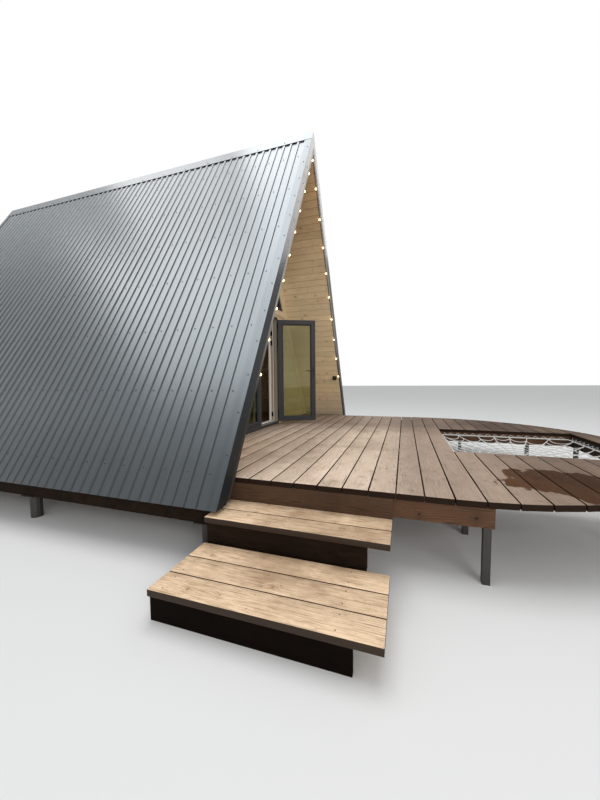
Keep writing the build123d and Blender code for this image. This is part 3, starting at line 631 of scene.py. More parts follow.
class CABIN_OT_finishes(bpy.types.Operator):
    """Give every solid its finish"""
    bl_idname = "cabin.finishes"
    bl_label = "Finishes"

    def execute(self, context):
        colours = context.scene.cabin_colours
        steel, pine, deck, steps, stain, profile, rope = (
            tuple(getattr(colours, name)) for name in Colours.__annotations__)
        brown = (0.50, 0.36, 0.21)
        lining = {
            "across": "slope", "pitch": LINING_BOARD, "face": APEX * RUN - LINING_IN,
            "start": LINING_FOOT * RISE - half_width(LINING_IN, LINING_FOOT) * RUN,
        }
        knotty = {"gap": 0.011, "knots": 0.9, "knot": 0.009, "rough": 0.55, "ior": 1.3}
        framing = {"pitch": 0.3, "start": 0.3, "face": DECK_X[0], "rings": 0.5}
        finishes = {
            # Painted shade on the lining: darker and warmer towards the apex, darker and cooler towards the
            # foot.
            "pine_lining": (timber(
                "pine lining", shade(pine, 1.17), brown, 3, spread=0.07, seam=0.4, butt=3.1, **lining, **knotty,
                shade_fades=(("z", 2.6, 4.5, (0.64, 0.55, 0.46)), ("z", 1.3, 0.65, (0.80, 0.83, 0.92))),
            ), "left_lining", "right_lining"),
            "pine_wall": (timber(
                "pine wall boards", shade(pine, 1.05), brown, 11, "x", pitch=0.145, start=DECK_TOP,
                face=WALL_FRONT, spread=0.06, **knotty,
            ), "front_wall_gable", "front_wall_left", "front_wall_right", "rear_wall"),
            "pine_trim": (timber(
                "pine trim", shade(pine, 1.08), brown, 23, "z", "x", 0.4, 0.1, 0.93, rings=0.25, knot=0.007,
                share=0.15, rough=0.5, spread=0.05, ior=1.3,
            ), "front_trims", "rear_trims", "door_casing", "door_lining"),
            # Painted shade on the barge boards: much darker towards the foot.
            "barge": (timber(
                "weathered barge board", (0.36, 0.335, 0.30), (0.22, 0.20, 0.18), 29, "z", "x", 9.0, 4.5,
                gap=0.008, knots=0.4, knot=0.008, share=0.2, spread=0.05,
                shade_fades=(("z", 2.4, 1.3, (0.12, 0.11, 0.10)),),
            ), "barge_boards"),
            "timber": (timber(
                "structural timber", (0.34, 0.23, 0.14), (0.20, 0.12, 0.07), 31, face=0.3, gap=0.008, rings=0.4,
                knots=0.6, rough=0.7, weather=0.3, ior=1.4,
            ), "left_roof_panel", "right_roof_panel", "floor"),
            # Painted shade on the deck: darker past y -0.95 and again past y -1.9, darker towards +x past x 0,
            # and the dark edge colour on the boards' sides.
            "deck": (timber(
                "deck boards", deck, (0.38, 0.275, 0.20), 41, "x", "y", start=DECK_FROM, face=DECK_TOP,
                gap=0.007, rings=0.35, knot=0.009, weather=0.4, grit=0.5, ior=1.08, mottle=0.9,
                edge=(0.022, 0.013, 0.009),
                shade_fades=(("y", -0.95, -1.65, (0.54, 0.51, 0.50)), ("y", -1.9, -2.9, (0.46, 0.43, 0.42)),
                       ("x", 0.0, 1.1, (0.50, 0.48, 0.48))),
            ), "deck_boards"),
            # Painted shade on the steps: the dark edge colour on the boards' sides.
            "steps": (timber(
                "step boards", steps, (0.38, 0.23, 0.125), 53, "y", "x", 0.192, STEP_FROM, STEP_TOPS[1],
                gap=0.015, rings=0.35, weather=0.6, spread=0.05, grit=0.7, ior=1.35, mottle=2.4,
                edge=(0.030, 0.017, 0.010),
            ), "step_treads"),
            # Dark stain and painted shade: near black, for the shade the net headers stand in below the deck.
            "dark": (timber(
                "dark stained timber", (0.035, 0.02, 0.013), (0.015, 0.009, 0.006), 61, gap=0.008, rings=0.4,
                rough=0.7, weather=0.3, spread=0.15, ior=1.2,
            ), "net_headers"),
            "beam": (timber(
                "stained beam", stain, shade(stain, 0.35), 67, knots=0.7, weather=0.3, **framing,
            ), "deck_joists"),
            "fascia": (timber(
                "stained fascia", (0.092, 0.051, 0.029), (0.034, 0.018, 0.010), 71, gap=0.010, knots=0.8,
                knot=0.016, share=0.5, rough=0.6, weather=0.4, grit=0.4, **framing,
            ), "deck_fascia"),
            # Dark stain and painted shade: near black for the risers, carriers and floor beams, which stand in
            # shade; the fade adds more painted shade past x -3.0, on the lower step's riser.
            "riser": (timber(
                "stained risers", (0.018, 0.0105, 0.0065), (0.008, 0.005, 0.0035), 83, pitch=0.25, rings=0.5,
                knot=0.010, rough=0.7, weather=0.3, ior=1.12, shade_fades=(("x", -3.0, -3.3, (0.25, 0.20, 0.16)),),
            ), "step_risers", "step_carriers", "floor_beams"),
            "steel": (coated_steel("coated roof metal", steel),
                      "left_roof_sheet", "right_roof_sheet", "ridge_cap", "eave_strips"),
            "flashing": (coated_steel("flashing metal", steel, 1.12), "rake_flashings"),
            "frames": (plain("anthracite profile", profile, 0.42, 0.08, 12.0, ior=1.25),
                       "door_leaf", "fixed_light_sash", "front_window_frame", "rear_window_frame"),
            "foiled": (foiled_profile("foiled profile", profile, (0.34, 0.29, 0.23)), "door_frame"),
            "white": (plain("white profile", (0.88, 0.87, 0.85), 0.35, 0.04, 10.0), "door_inner_trim"),
            "glass": (tinted_glass("window glass"),
                      "door_glass", "fixed_light_glass", "front_window_glass", "rear_window_glass"),
            "black": (plain("black hardware", (0.009, 0.009, 0.010), 0.4, 0.15, 30.0, ior=1.3),
                      "door_handle", "door_hinges", "frame_hinges"),
            "plastic": (plain("black plastic", (0.020, 0.019, 0.018), 0.5, 0.2, 40.0),
                        "lamp_holders", "socket_box"),
            "post": (plain("dark post coating", (0.03, 0.027, 0.025), 0.55, 0.25, 14.0),
                     "piles", "deck_posts"),
            "seal": (plain("rubber seal", (0.012, 0.012, 0.012), 0.75, 0.2, 60.0),),
            "zinc": (plain("painted screw", shade(steel, 0.3), 0.5, 0.15, 70.0),),
            "deck_screw": (plain("deck screw", (0.10, 0.08, 0.065), 0.5, 0.25, 90.0, 0.7),),
            "cable": (plain("cable sheath", (0.05, 0.032, 0.022), 0.6, 0.2, 30.0), "lamp_cable"),
            "bulb": (lamp_glass("lit bulb", context.scene.cabin_lamps.glow), "lamp_bulbs"),
            "rope": (rope_finish("laid rope", rope), "rope_net"),
            "knot": (plain("rope knots", shade(rope, 0.9), 0.85, 0.3, 90.0, bump=0.001),),
        }
        for key, (material, *nodes) in finishes.items():
            MADE[key] = material
            for name in nodes:
                dress(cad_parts[name].data, material)
        return {"FINISHED"}


class CABIN_OT_roof_metal(bpy.types.Operator):
    """Side laps of the sheets, and the screws in the sheets, the ridge cap and the flashings"""
    bl_idname = "cabin.roof_metal"
    bl_label = "Roof metal"

    def execute(self, context):
        sizes = context.scene.cabin_roof
        ribs = round(ROOF_LENGTH / sizes.rib_pitch)
        screw = lathe(WASHER, 8) * sizes.screw
        valley_middle, crest_middle, cap_run, inset = 0.0355, 0.092, 0.15, 0.03
        over_cap, over_flashing, down_rake = 0.004, 0.002, 0.075
        valleys = np.arange(1, ribs - 1, 2) * sizes.rib_pitch + valley_middle
        cap_y = np.arange(3, ribs, 4) * sizes.rib_pitch + crest_middle
        rows = sizes.first_row + np.arange(sizes.screw_rows) * sizes.row_step
        edge_rows = np.arange(0.42, SHEET_RUN - 0.1, 0.39)
        crest = np.array(((0.069, -VALLEY), (0.077, 0.0), (0.109, 0.0), (0.1165, -VALLEY)))
        over = crest + ((-0.001, 0.0), (-0.001, sizes.lap), (0.001, sizes.lap), (0.002, 0.0))
        under = crest[::-1] + ((0.0004, -0.001), (0.0, -0.0005), (0.0, -0.0005), (0.0, -0.001))
        outline = np.concatenate((over, under))
        starts = np.arange(sizes.ribs_a_sheet - 1, ribs, sizes.ribs_a_sheet) * sizes.rib_pitch
        lap_y = starts[:, None, None] + outline[:, 0]
        lap_run = np.array((0.045, SHEET_RUN + 0.0005))[:, None]
        laps, screws = [], []
        for side in (-1, 1):
            laps.append(walls(on_roof(side, lap_run, lap_y, outline[:, 1])))
            field = on_roof(side, rows[:, None], valleys, -VALLEY).reshape(-1, 3)
            edges = [on_roof(side, edge_rows, y, over_flashing) for y in (inset, ROOF_LENGTH - inset)]
            spots = np.concatenate((field, *edges, on_roof(side, cap_run, cap_y, over_cap)))
            screws.append(copies(screw, spots, (side * RISE, 0, RUN), (0, 1, 0)))
            for y, look in ((-over_flashing, -1), (ROOF_LENGTH + over_flashing, 1)):
                face = on_roof(side, edge_rows[1:], y, -down_rake)
                screws.append(copies(screw * 0.8, face, (0, look, 0), (0, 0, 1)))
        piece("sheet_laps", laps, "steel")
        piece("roof_screws", screws, "zinc")
        return {"FINISHED"}


class CABIN_OT_cladding(bpy.types.Operator):
    """Level boards on the front and rear walls"""
    bl_idname = "cabin.cladding"
    bl_label = "Wall boards"

    def execute(self, context):
        sizes = context.scene.cabin_boards
        gap, narrowest, edge, clear, casing = 0.004, 0.03, 0.003, 0.002, 0.07
        foot, sill = DECK_TOP + 0.004, WINDOW_SILL - 0.112
        parts = []

        def slant(sign):
            return lambda across: sign * (half_width(TRIM_IN, across) - clear)

        def lay(low, high, start, end, y, outward, seed):
            """Boards between two heights, cut at the level joints and left out where they are too narrow."""
            first = math.ceil((low - DECK_TOP) / sizes.cladding)
            last = math.floor((high - DECK_TOP) / sizes.cladding)
            cuts = (low, *(DECK_TOP + np.arange(first, last + 1) * sizes.cladding), high)
            cuts = np.unique(np.round(cuts, 4))
            keep = np.diff(cuts) > narrowest
            lows, highs = cuts[:-1][keep] + gap / 2, cuts[1:][keep] - gap / 2
            rings = planks(lows, highs, start, end, sizes.cladding_depth, edge, 0.0, seed, 2)
            place = on_wall(y + outward * sizes.cladding_depth, outward)
            parts.append(walls(place(rings[..., 0], rings[..., 1], -rings[..., 2])))

        lay(foot, UNIT_TOP, slant(-1), constant(UNIT_LOW - casing - clear), WALL_FRONT, -1, 1)
        lay(foot, UNIT_TOP, constant(UNIT_HIGH + casing + clear), slant(1), WALL_FRONT, -1, 2)
        lay(UNIT_TOP + clear, sill, slant(-1), slant(1), WALL_FRONT, -1, 3)
        lay(foot, sill, slant(-1), slant(1), WALL_REAR, 1, 4)
        piece("wall_boards", parts, "pine_wall")
        return {"FINISHED"}


class CABIN_OT_deck(bpy.types.Operator):
    """Deck boards with round edges, and the screws that hold them"""
    bl_idname = "cabin.deck"
    bl_label = "Deck"

    def execute(self, context):
        sizes = context.scene.cabin_boards
        near, far = deck_end(-1), deck_end(1)
        joists = np.array((-2.445, -1.695, -0.945, 0.0, 0.805, 1.4825, 2.16))
        from_edge, from_end = 0.06, 0.03
        porch_rows, porch_end = 5, 2.5
        parts, screws = [], []

        def lay(high, count, start, end, seed, ceiling=math.inf):
            """Boards side by side from high down the y axis, with two screws over each joist."""
            edge = high - np.arange(count) * sizes.pitch
            lows, highs = edge - sizes.pitch + sizes.gap / 2, np.minimum(edge - sizes.gap / 2, ceiling)
            rings = planks(lows, highs, start, end, sizes.thickness, sizes.edge, sizes.warp / 2, seed)
            parts.append(walls(rings + (0, 0, DECK_TOP)))
            rows = np.repeat((lows + highs) / 2, 2) + np.tile((-from_edge, from_edge), count)
            y, x = np.meshgrid(rows, joists, indexing="ij")
            inside = (x > start(y) + from_end) & (x < end(y) - from_end)
            screws.append(sunk_screws(x[inside], y[inside], DECK_TOP, sizes.screw))

        lay(DECK_FROM, 10, near, far, 5)
        lay(NET_Y[1], 9, near, constant(NET_X[0]), 6)
        lay(NET_Y[1], 9, constant(NET_X[1]), far, 7)
        lay(NET_Y[0], 2, near, far, 8)
        porch = (constant(DECK_X[0]), constant(porch_end))
        lay(DECK_FROM + 1.0, porch_rows, *porch, 9, WALL_FRONT - sizes.gap)
        piece("deck_planks", parts, "deck", stands_for="deck_boards")
        piece("deck_screws", screws, "deck_screw")
        return {"FINISHED"}


class CABIN_OT_steps(bpy.types.Operator):
    """Boards of the two steps and their screws"""
    bl_idname = "cabin.steps"
    bl_label = "Steps"

    def execute(self, context):
        sizes = context.scene.cabin_boards
        start, end = constant(-1.288), constant(0.079)
        carriers, from_middle = (-1.05, -0.56, 0.0), 0.055
        parts, screws = [], []
        for top, begin, count, seed in ((STEP_TOPS[0], 0, 2, 15), (STEP_TOPS[1], 2, 3, 16)):
            highs = STEP_FROM - (begin + np.arange(count)) * (STEP_BOARD + STEP_GAP)
            lows = highs - STEP_BOARD
            rings = planks(lows, highs, start, end, sizes.thickness, sizes.edge, sizes.warp / 3, seed)
            parts.append(walls(xyz(rings[..., 1], rings[..., 0], rings[..., 2] + top)))
            x = np.repeat(highs - STEP_BOARD / 2, 2) + np.tile((-from_middle, from_middle), count)
            x, y = np.meshgrid(x, carriers, indexing="ij")
            screws.append(sunk_screws(x.ravel(), y.ravel(), top, sizes.screw))
        piece("step_planks", parts, "steps", stands_for="step_treads")
        piece("step_screws", screws, "deck_screw")
        return {"FINISHED"}


class CABIN_OT_net(bpy.types.Operator):
    """Rope net: radial ropes and rings that sag, a border rope and its lacing"""
    bl_idname = "cabin.net"
    bl_label = "Rope net"

    def execute(self, context):
        sizes = context.scene.cabin_net
        radius = sizes.rope / 2
        low, high = np.array((NET_X, NET_Y)).T
        centre, half = (low + high) / 2, (high - low) / 2
        inner = half - sizes.border
        level, eye_height, hub_radius, first_ring = 0.515, 0.026, 0.02, 0.06
        slack, off_rope = 0.24, 0.004
        ring_rope, border_rope, lacing_rope = radius * 0.85, radius * 1.25, radius * 0.6

        def hang(flat):
            """The net's height: a dish that is level at the border rope and lowest at the hub."""
            share = np.clip(1 - ((flat - centre) / inner) ** 2, 0, 1)
            height = level - sizes.sag * (share[..., 0] * share[..., 1]) ** 0.6
            return np.concatenate((flat, height[..., None]), -1)

        turn = (np.arange(sizes.radials) + 0.5) * math.tau / sizes.radials
        direction = np.stack((np.cos(turn), np.sin(turn)), -1)
        # From the hub to the border rope, along each radial rope.
        reach = np.min(inner / np.maximum(np.abs(direction), 1e-9), axis=-1)
        share = np.linspace(0, 1, 15)[:, None]
        spokes = centre + direction[:, None] * (hub_radius + (reach[:, None, None] - hub_radius) * share)
        share = np.linspace(0, 1, 7)[:, None]
        arcs, knots = [], []
        for ring in first_ring + np.arange(sizes.rings) * sizes.ring_step:
            ends = centre + direction * ring
            following = np.roll(ends, -1, axis=0)
            bow = slack * ring * math.tau / sizes.radials * 4 * share * (1 - share)
            path = ends[:, None] + (following - ends)[:, None] * share
            path = path - unit((ends + following) / 2 - centre)[:, None] * bow
            arcs.append(path[(ring < reach) & (ring < np.roll(reach, -1))])
            knots.append(ends[ring < reach])
        corners = np.array(((-1, -1), (1, -1), (1, 1), (-1, 1))) * inner + centre
        sides = np.roll(corners, -1, axis=0) - corners
        border = corners[:, None] + sides[:, None] * np.linspace(0, 1, 12)[:, None]
        rope = [
            (hang(spokes), circle(radius, 7)),
            (hang(np.concatenate(arcs)), circle(ring_rope, 6)),
            (hang(border), circle(border_rope, 8)),
        ]
        tips = []
        for start, side, outward in zip(corners, sides, ((0, -1), (1, 0), (0, 1), (-1, 0))):
            count = int(np.linalg.norm(side) / sizes.lacing) * 2
            turns = np.arange(count)
            odd = turns % 2
            flat = start + side * (turns + 0.5)[:, None] / count
            flat = flat + np.outer(np.where(odd, sizes.border - off_rope, off_rope), outward)
            path = np.column_stack((flat, level + eye_height * odd))
            rope.append((path[None], circle(lacing_rope, 6)))
            tips.append(path[1::2])
        parts, maps = [], []
        for paths, outline in rope:
            parts.append(walls(sweep(paths, outline)))
            count = len(outline)
            length = np.linalg.norm(np.diff(paths, axis=1), axis=2).cumsum(axis=1)
            length = np.pad(length, ((0, 0), (1, 0)))
            u = np.stack((length[:, :-1], length[:, :-1], length[:, 1:], length[:, 1:]), -1)[:, :, None]
            v = (np.arange(count)[:, None] + (0, 1, 1, 0)) / count
            mapped = np.stack(np.broadcast_arrays(u, v), -1).reshape(-1, 2)
            maps += [mapped, np.zeros((2 * len(paths) * count, 2))]
        piece("net_ropes", parts, "rope", stands_for="rope_net", uv=np.concatenate(maps))
        knots = hang(np.concatenate(knots))
        knot = lathe(((-1.1, 0.5), (-0.6, 1.45), (0.0, 1.65), (0.6, 1.45), (1.1, 0.5)), 6) * radius
        hub = lathe(((-1.6, 1.5), (-1.0, 3.6), (0.0, 4.6), (1.0, 3.6), (1.6, 1.5)), 12) * radius
        tied = [copies(knot, knots, (knots - (*centre, level)) * (1, 1, 0), (0, 0, 1)),
                copies(hub, hang(centre[None]), (0, 0, 1), (1, 0, 0))]
        piece("net_knots", tied, "knot", crease=80.0)
        ring = lathe(((0.0, 0.5), (0.35, 1.0), (0.7, 0.9), (0.9, 0.4)), 8) * 0.008
        tips = np.concatenate(tips)
        towards = tips[:, :2] - centre
        face = np.where(np.abs(towards) / half > 0.99, np.sign(towards), 0.0)
        edge = np.where(face != 0, centre + half * np.sign(towards), tips[:, :2])
        look = np.column_stack((-face, np.zeros(len(face))))
        eyes = copies(ring, np.column_stack((edge, tips[:, 2])), look, (0, 0, 1))
        piece("net_eyes", [eyes], "zinc")
        return {"FINISHED"}


def glazing(corners, place, face, glass, sizes):
    """Bead and gasket round a pane: the bead's profile falls from the frame's face to the glass."""
    step = math.copysign(1.0, glass - face)
    bead, end = sizes.bead, sizes.bead + sizes.gasket
    profiles = (
        ((0.0, glass), (0.0, face + step * 0.0012), (0.003, face + step * 0.0004),
         (bead * 0.55, face + step * 0.004), (bead, glass - step * 0.006), (bead, glass)),
        ((bead, glass), (bead, glass - step * 0.005), (bead + sizes.gasket * 0.6, glass - step * 0.004),
         (end, glass)),
    )
    return [walls(place(*mitred(corners, profile))[None], closed=True) for profile in profiles]


def pane(x_low, x_high, z_low, z_high):
    """Corners of an upright rectangle, in the turn that mitred wants."""
    return ((x_low, z_low), (x_high, z_low), (x_high, z_high), (x_low, z_high))


class CABIN_OT_glazing(bpy.types.Operator):
    """Glazing beads and gaskets of the door, the fixed light and the gable windows"""
    bl_idname = "cabin.glazing"
    bl_label = "Glazing"

    def execute(self, context):
        sizes = context.scene.cabin_fittings
        stile, leaf_depth = 0.075, 0.018
        leaf = pane(LEAF_NEAR + stile, LEAF_FAR - stile, LEAF_LOW + stile, LEAF_HIGH - stile)
        light = pane(-0.79 + stile, -0.07 - stile, 0.65 + stile, 2.55 - stile)
        pane_in, sill = TRIM_IN + 0.05, WINDOW_SILL + 0.05
        foot = half_width(pane_in, sill)
        gable = ((-foot, sill), (foot, sill), (0.0, APEX - pane_in / RUN))
        made = [glazing(leaf, on_leaf, face, glass, sizes) for face, glass in
                ((LEAF_OUT, LEAF_OUT + leaf_depth), (LEAF_IN, LEAF_IN - leaf_depth))]
        beads, seals = zip(*made)
        piece("leaf_beads", beads, "frames", "door")
        piece("leaf_gaskets", seals, "seal", "door")
        panes = ((light, 0.932, 0.056, -1), (gable, 0.95, 0.06, -1), (gable, 6.54, 0.06, -1))
        made = [glazing(corners, on_wall(y, look), face, glass, sizes) for corners, y, depth, look in panes
                for face, glass in ((0.0, (depth - 0.02) / 2), (depth, (depth + 0.02) / 2))]
        beads, seals = zip(*made)
        piece("window_beads", beads, "frames")
        piece("window_gaskets", seals, "seal")
        return {"FINISHED"}


class CABIN_OT_door_hardware(bpy.types.Operator):
    """Lever handles, key cylinders, strike and hinge plates"""
    bl_idname = "cabin.door_hardware"
    bl_label = "Door hardware"

    def execute(self, context):
        sizes = context.scene.cabin_fittings
        spot_x, spot_z = LEAF_FAR - 0.036, DECK_TOP + 1.0
        lock_z, opening_x = spot_z - 0.062, (-0.03, 0.69)
        handles, keyways = [], []

        def on_face(x, z, outline, *steps):
            """Layers of an outline about a place on the leaf, stacked out from the face."""
            wide, high, depth = layers(outline, *steps)
            return walls(on_leaf(x + wide, z + high, face + out * depth)[None])

        for face, out in ((LEAF_IN, 1), (LEAF_OUT, -1)):
            handles.append(on_face(spot_x, spot_z - 0.02, rounded(0.030, 0.15, 0.009, 4),
                                   (0.0, 1.0), (0.0075, 1.0), (0.009, 0.9, 0.997)))
            handles.append(on_face(spot_x, spot_z, circle(0.0105, 16),
                                   (0.006, 1.0), (0.016, 1.0), (0.017, 0.82), (0.038, 0.82)))
            handles.append(on_face(spot_x, lock_z, circle(sizes.cylinder, 16),
                                   (0.006, 1.0), (0.0115, 1.0), (0.0125, 0.85)))
            keyways.append(on_face(spot_x, lock_z - 0.002, rounded(0.0022, 0.007, 0.0008, 1),
                                   (0.010, 1.0), (0.0128, 1.0)))
            along = np.linspace(0.0, 1.0, 14)
            line_x = spot_x - (sizes.lever + 0.006) * along + 0.006
            reach = sizes.lever_reach - 0.009 - 0.004 * np.exp(-along * 6.0)
            line = on_leaf(line_x, spot_z, face + out * reach)[None]
            swell = np.clip(np.minimum(along * 9, (1 - along) * 14) + 0.35, 0, 1)
            grip = sweep(line, rounded(0.013, 0.020, 0.0055, 3)) - line[:, :, None]
            handles.append(walls(line[:, :, None] + grip * swell[:, None, None]))
        piece("lever_handles", handles, "black", "door", stands_for="door_handle")
        piece("keyways", keyways, "seal", "door")
        plates, screws = [], []
        head = lathe(((0.0, 1.0), (0.2, 1.0), (0.35, 0.7)), 8) * 0.0035
        jamb, plate_y, hinge_levels = UNIT_HIGH - 0.05, 1.036, (0.78, 2.13, 2.31)
        strike_y, strike_z = 0.972, spot_z - 0.03
        wide, high, depth = layers(rounded(0.036, 0.085, 0.008, 2), (0.0, 1.0), (0.010, 1.0), (0.013, 0.9))
        for z in hinge_levels:
            plates.append(walls(xyz(jamb - depth, plate_y + wide, z + high)[None]))
            heads = xyz(jamb - 0.013, plate_y, z + np.array((-0.03, 0.0, 0.03)))
            screws.append(copies(head, heads, (-1, 0, 0), (0, 0, 1)))
        wide, high, depth = layers(rounded(0.022, 0.24, 0.004, 2), (0.0, 1.0), (0.0015, 1.0), (0.002, 0.97))
        plates.append(walls(xyz(opening_x[0] + depth, strike_y + wide, strike_z + high)[None]))
        piece("jamb_plates", plates, "black")
        piece("jamb_screws", screws, "zinc")
        opening = pane(*opening_x, 0.65, 2.55)
        for name, y, profile, finish, slot in (
            ("frame_seal", 0.93, ((0.0, 0.062), (0.006, 0.060), (0.008, 0.066), (0.0, 0.070)),
             "seal", "black_plastic"),
            ("opening_stop", 1.066, ((0.0, 0.0), (0.008, 0.001), (0.010, 0.004), (0.010, 0.036),
                                     (0.008, 0.039), (0.0, 0.040)), "white", "frame_white"),
        ):
            strip = walls(on_wall(y, -1)(*mitred(opening, profile))[None], closed=True)
            piece(name, [strip], finish)
        return {"FINISHED"}


class CABIN_OT_lamps(bpy.types.Operator):
    """Lamp string: bulbs, holders, cable, clips and the socket box"""
    bl_idname = "cabin.lamps"
    bl_label = "Lamps"

    def execute(self, context):
        sizes = context.scene.cabin_lamps
        cable_in = LINING_IN + CABLE_CLEAR + sizes.cable / 2
        lamp_in = cable_in + sizes.cable / 2
        top_z = APEX - cable_in / RUN - CABLE_TURN * math.tan(PITCH)
        drop, y = sizes.pitch * RISE, CABLE_Y
        levels = APEX - lamp_in / RUN - np.arange(1, sizes.count + 1) * drop
        last = levels[-1]
        side, levels = np.repeat((-1, 1), sizes.count), np.tile(levels, 2)
        looks = xyz(-side * RISE, 0.0, -RUN)
        clips = xyz(side * half_width(LINING_IN, levels + drop / 2), y, levels + drop / 2)
        ridge_lamp = (0, y, top_z - 0.0055)
        spots = np.vstack((ridge_lamp, xyz(side * half_width(lamp_in, levels), y, levels)))
        lamp_looks = np.vstack(((0, 0, -1), looks))
        holder = ((0.0, 9.0), (0.6, 11.5), (2.0, 12.4), (2.6, 14.0), (4.6, 14.0), (5.4, 12.2), (8.6, 12.4),
                  (9.4, 13.6), (11.0, 13.6), (12.0, 11.6))
        glass = ((12.0, 8.2), (13.5, 10.2), (17.0, 13.6), (21.5, 15.6), (26.0, 16.0), (30.5, 15.3),
                 (34.6, 12.9), (37.8, 9.2), (39.4, 5.0), (39.9, 1.6))
        for name, profile, finish, slot, node, crease in (
            ("lamp_sockets", holder, "plastic", "black_plastic", "lamp_holders", 50),
            ("lit_bulbs", glass, "bulb", "lamp_glass", "lamp_bulbs", 80),
        ):
            turned = copies(lathe(profile, 20) * MILLI, spots, lamp_looks, (0, 1, 0))
            piece(name, [turned], finish, stands_for=node, crease=crease)
        half_arch = np.array(((8, 0), (8, 1.5), (5.5, 1.5), (5.2, 6), (3.5, 8.8), (0, 9.8), (0, 8.8),
                              (2.6, 8.0), (4.4, 5.6), (4.6, 0))) * MILLI
        other = half_arch * (-1, 1)
        arch = np.concatenate((other[:6], half_arch[4::-1], half_arch[:5:-1], other[7:]))
        clip = xyz(arch[:, 0], np.array((-0.004, 0.004))[:, None], arch[:, 1])
        piece("cable_clips", [copies(clip, clips, looks, (0, 1, 0))], "plastic")
        self.cable(sizes.cable, cable_in, top_z, last - SOCKET_BELOW, last - CABLE_END_BELOW)
        self.socket(last - SOCKET_BELOW)
        return {"FINISHED"}

    def cable(self, diameter, cable_in, top_z, socket_z, end_z):
        """The cable: one open spline from the socket box up one slope, over the ridge and down the other."""
        slope, mirror = np.array((-RUN, 0.0, RISE)), np.array((-1.0, 1.0, 1.0))
        foot = np.array((half_width(cable_in, socket_z), CABLE_Y, socket_z))
        crown = np.array((CABLE_TURN, CABLE_Y, top_z))
        tail = np.array((half_width(cable_in, end_z), CABLE_Y, end_z))
        bends = [crown - slope * 0.3, crown - slope * 0.035, crown]
        rising = [foot + (0, 0.048, 0), foot + (0, 0.02, 0), foot, foot + slope * 0.03, foot + slope * 0.3]
        falling = [point * mirror for point in (*bends[::-1], tail + slope * 0.3, tail)]
        route = rising + bends + falling
        curve = bpy.data.curves.new("cable_line", "CURVE")
        curve.dimensions = "3D"
        curve.bevel_depth = diameter / 2
        curve.bevel_resolution = 3
        curve.use_fill_caps = True
        spline = curve.splines.new("NURBS")
        spline.points.add(len(route) - 1)
        for point, place in zip(spline.points, route):
            point.co = (*place, 1)
        spline.order_u = 3
        spline.use_endpoint_u = True
        spline.resolution_u = 6
        line = bpy.data.objects.new("cable_line", curve)
        mesh = bpy.data.meshes.new_from_object(line)
        mesh.name = "string_cable"
        bpy.data.objects.remove(line)
        enter("string_cable", mesh, "cable", "cabin", "lamp_cable")

    def socket(self, level):
        """A splash-proof box with a lid: rounded outlines stacked out from the lining."""
        origin = (half_width(LINING_IN, level), CABLE_Y + 0.088, level)
        case = ((0.0, 80, 8), (26, 80, 8), (27, 78, 8), (28, 80, 8), (40, 80, 8), (43.5, 76, 9), (45, 68, 9))
        rings = np.stack([xyz(*rounded(side, side, radius, 3).T, reach) for reach, side, radius in case])
        cover = lathe(((44.8, 27), (47.8, 27), (49.0, 25.5), (49.0, 22), (47.0, 21)), 24)
        shells = [copies(shell * MILLI, origin, (-RISE, 0, -RUN), (0, 1, 0)) for shell in (rings, cover)]
        piece("socket_case", shells, "plastic", stands_for="socket_box")


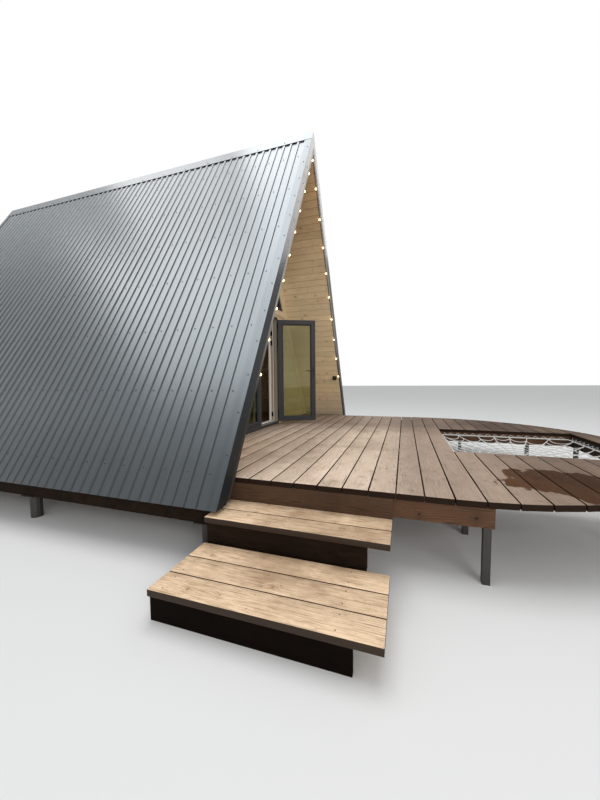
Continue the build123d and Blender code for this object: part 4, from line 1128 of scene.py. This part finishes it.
class CABIN_OT_stage(bpy.types.Operator):
    """Pale floor, soft light and the camera"""
    bl_idname = "cabin.stage"
    bl_label = "Stage"

    def execute(self, context):
        self.floor(context)
        self.sky(context)
        self.camera(context)
        self.panel(context, "soft panel", (-1.0, 0.0, 13.0), (-1.0, 0.0, 0.0), (9.0, 9.0), 800.0)
        self.panel(context, "side panel", (-14.85, -9.9, 5.6), (0.0, 0.0, 1.5), (9.9, 9.9), 1160.0)
        for name, x, y, width, length, glow in (
            ("low sheen panel", -6.65, 7.15, 3.3, 11.7, 3.5),
            ("near middle panel", -3.25, 3.3, 3.5, 4.0, 3.1),
            ("far middle panel", -3.25, 9.15, 3.5, 7.7, 4.6),
            ("near ridge panel", 0.35, 3.15, 3.7, 3.7, 1.5),
            ("far ridge panel", 0.35, 7.5, 3.7, 5.0, 2.6),
        ):
            self.sheen(context, name, (x, y, 12.0), (x, y, 0.0), (width, length), glow)
        self.sheen(context, "rake sheen panel", (8.0, -3.2, 9.4), (0.0, -3.2, 9.4), (6.5, 6.0), 5.2)
        context.scene.view_settings.view_transform = "Standard"
        return {"FINISHED"}

    def camera(self, context):
        """The camera: a place, the three directions of its view, and a focal length of 315.34 of the
        picture's 800 rows."""
        camera = bpy.data.cameras.new("camera")
        camera.sensor_width = 36.0
        camera.lens = 315.34 / 800 * camera.sensor_width
        camera.clip_start, camera.clip_end = 0.05, 200.0
        view = bpy.data.objects.new("camera", camera)
        right, up = np.array((0.31399, -0.94939, -0.00898)), np.array((0.06543, 0.01221, 0.99777))
        forward = np.array((0.94715, 0.31388, -0.06595))
        turn = Matrix(np.stack((right, up, -forward), -1).tolist())
        view.matrix_world = Matrix.Translation((-4.870, -1.360, 1.443)) @ turn.to_4x4()
        context.scene.collection.objects.link(view)
        context.scene.camera = view

    def sheen(self, context, name, place, aim, size, glow):
        """A panel that shows only in gloss: glow is its brightness, where white is 1."""
        thing = self.panel(context, name, place, aim, size, glow * math.pi * size[0] * size[1])
        thing.visible_diffuse = False
        thing.data.color = (1.0, 0.97, 0.945)

    def panel(self, context, name, place, aim, size, energy):
        """A soft rectangular lamp at a place, turned so that it shines at the aim."""
        lamp = bpy.data.lights.new(name, "AREA")
        lamp.shape = "RECTANGLE"
        lamp.size, lamp.size_y = size
        lamp.energy = energy
        thing = bpy.data.objects.new(name, lamp)
        away = Vector(place) - Vector(aim)
        thing.matrix_world = Matrix.Translation(place) @ away.to_track_quat("Z", "Y").to_matrix().to_4x4()
        thing.visible_camera = False
        context.scene.collection.objects.link(thing)
        return thing

    def floor(self, context):
        mesh = bpy.data.meshes.new("floor_plane")
        mesh.from_pydata([(-60, -60, 0), (60, -60, 0), (60, 60, 0), (-60, 60, 0)], [], [(0, 1, 2, 3)])
        mesh.materials.append(Finish("pale floor", Roughness=0.9, Base_Color=(0.70, 0.70, 0.69)).material)
        ground = bpy.data.objects.new("floor_plane", mesh)
        context.scene.collection.objects.link(ground)

    def sky(self, context):
        """Soft light on the object, and plain white where the camera, gloss or glass looks past it."""
        world = bpy.data.worlds.new("studio")
        context.scene.world = world
        world.use_nodes = True
        tree = world.node_tree
        tree.nodes.clear()

        def node(kind, *values):
            made = tree.nodes.new("ShaderNode" + kind)
            for socket, value in zip(made.inputs, values):
                if isinstance(value, bpy.types.NodeSocket):
                    tree.links.new(value, socket)
                else:
                    socket.default_value = value
            return made

        rays = node("LightPath").outputs
        seen = rays["Is Camera Ray"]
        for ray in ("Is Glossy Ray", "Is Transmission Ray"):
            either = node("Math", seen, rays[ray])
            either.operation = "MAXIMUM"
            seen = either.outputs[0]
        soft, white = node("Background", (0.96, 0.98, 1.0, 1), 0.66), node("Background", (1, 1, 1, 1), 1.0)
        node("OutputWorld", node("MixShader", seen, soft.outputs[0], white.outputs[0]).outputs[0])


class CABIN_PT_panel(bpy.types.Panel):
    """Sizes, colours and the operators that make each group"""
    bl_idname = "CABIN_PT_panel"
    bl_label = "A-frame cabin"
    bl_space_type = "VIEW_3D"
    bl_region_type = "UI"
    bl_category = "Cabin"

    def draw(self, context):
        layout = self.layout
        for operator in OPERATORS:
            layout.operator(operator.bl_idname)
        for name, group in GROUPS.items():
            box = layout.box()
            settings = getattr(context.scene, name)
            for prop in group.__annotations__:
                box.prop(settings, prop)


GROUPS = {
    "cabin_roof": RoofSizes,
    "cabin_boards": BoardSizes,
    "cabin_net": NetSizes,
    "cabin_fittings": FittingSizes,
    "cabin_lamps": LampSizes,
    "cabin_colours": Colours,
}
OPERATORS = (
    CABIN_OT_finishes, CABIN_OT_roof_metal, CABIN_OT_cladding, CABIN_OT_deck, CABIN_OT_steps, CABIN_OT_net,
    CABIN_OT_glazing, CABIN_OT_door_hardware, CABIN_OT_lamps, CABIN_OT_stage,
)


def register():
    for name, group in GROUPS.items():
        bpy.utils.register_class(group)
        setattr(bpy.types.Scene, name, PointerProperty(type=group))
    for kind in (*OPERATORS, CABIN_PT_panel):
        bpy.utils.register_class(kind)


def unregister():
    for kind in (CABIN_PT_panel, *reversed(OPERATORS)):
        bpy.utils.unregister_class(kind)
    for name, group in GROUPS.items():
        delattr(bpy.types.Scene, name)
        bpy.utils.unregister_class(group)


def main():
    register()
    for operator in OPERATORS:
        group, name = operator.bl_idname.split(".")
        getattr(getattr(bpy.ops, group), name)()


if __name__ == "__main__":
    main()
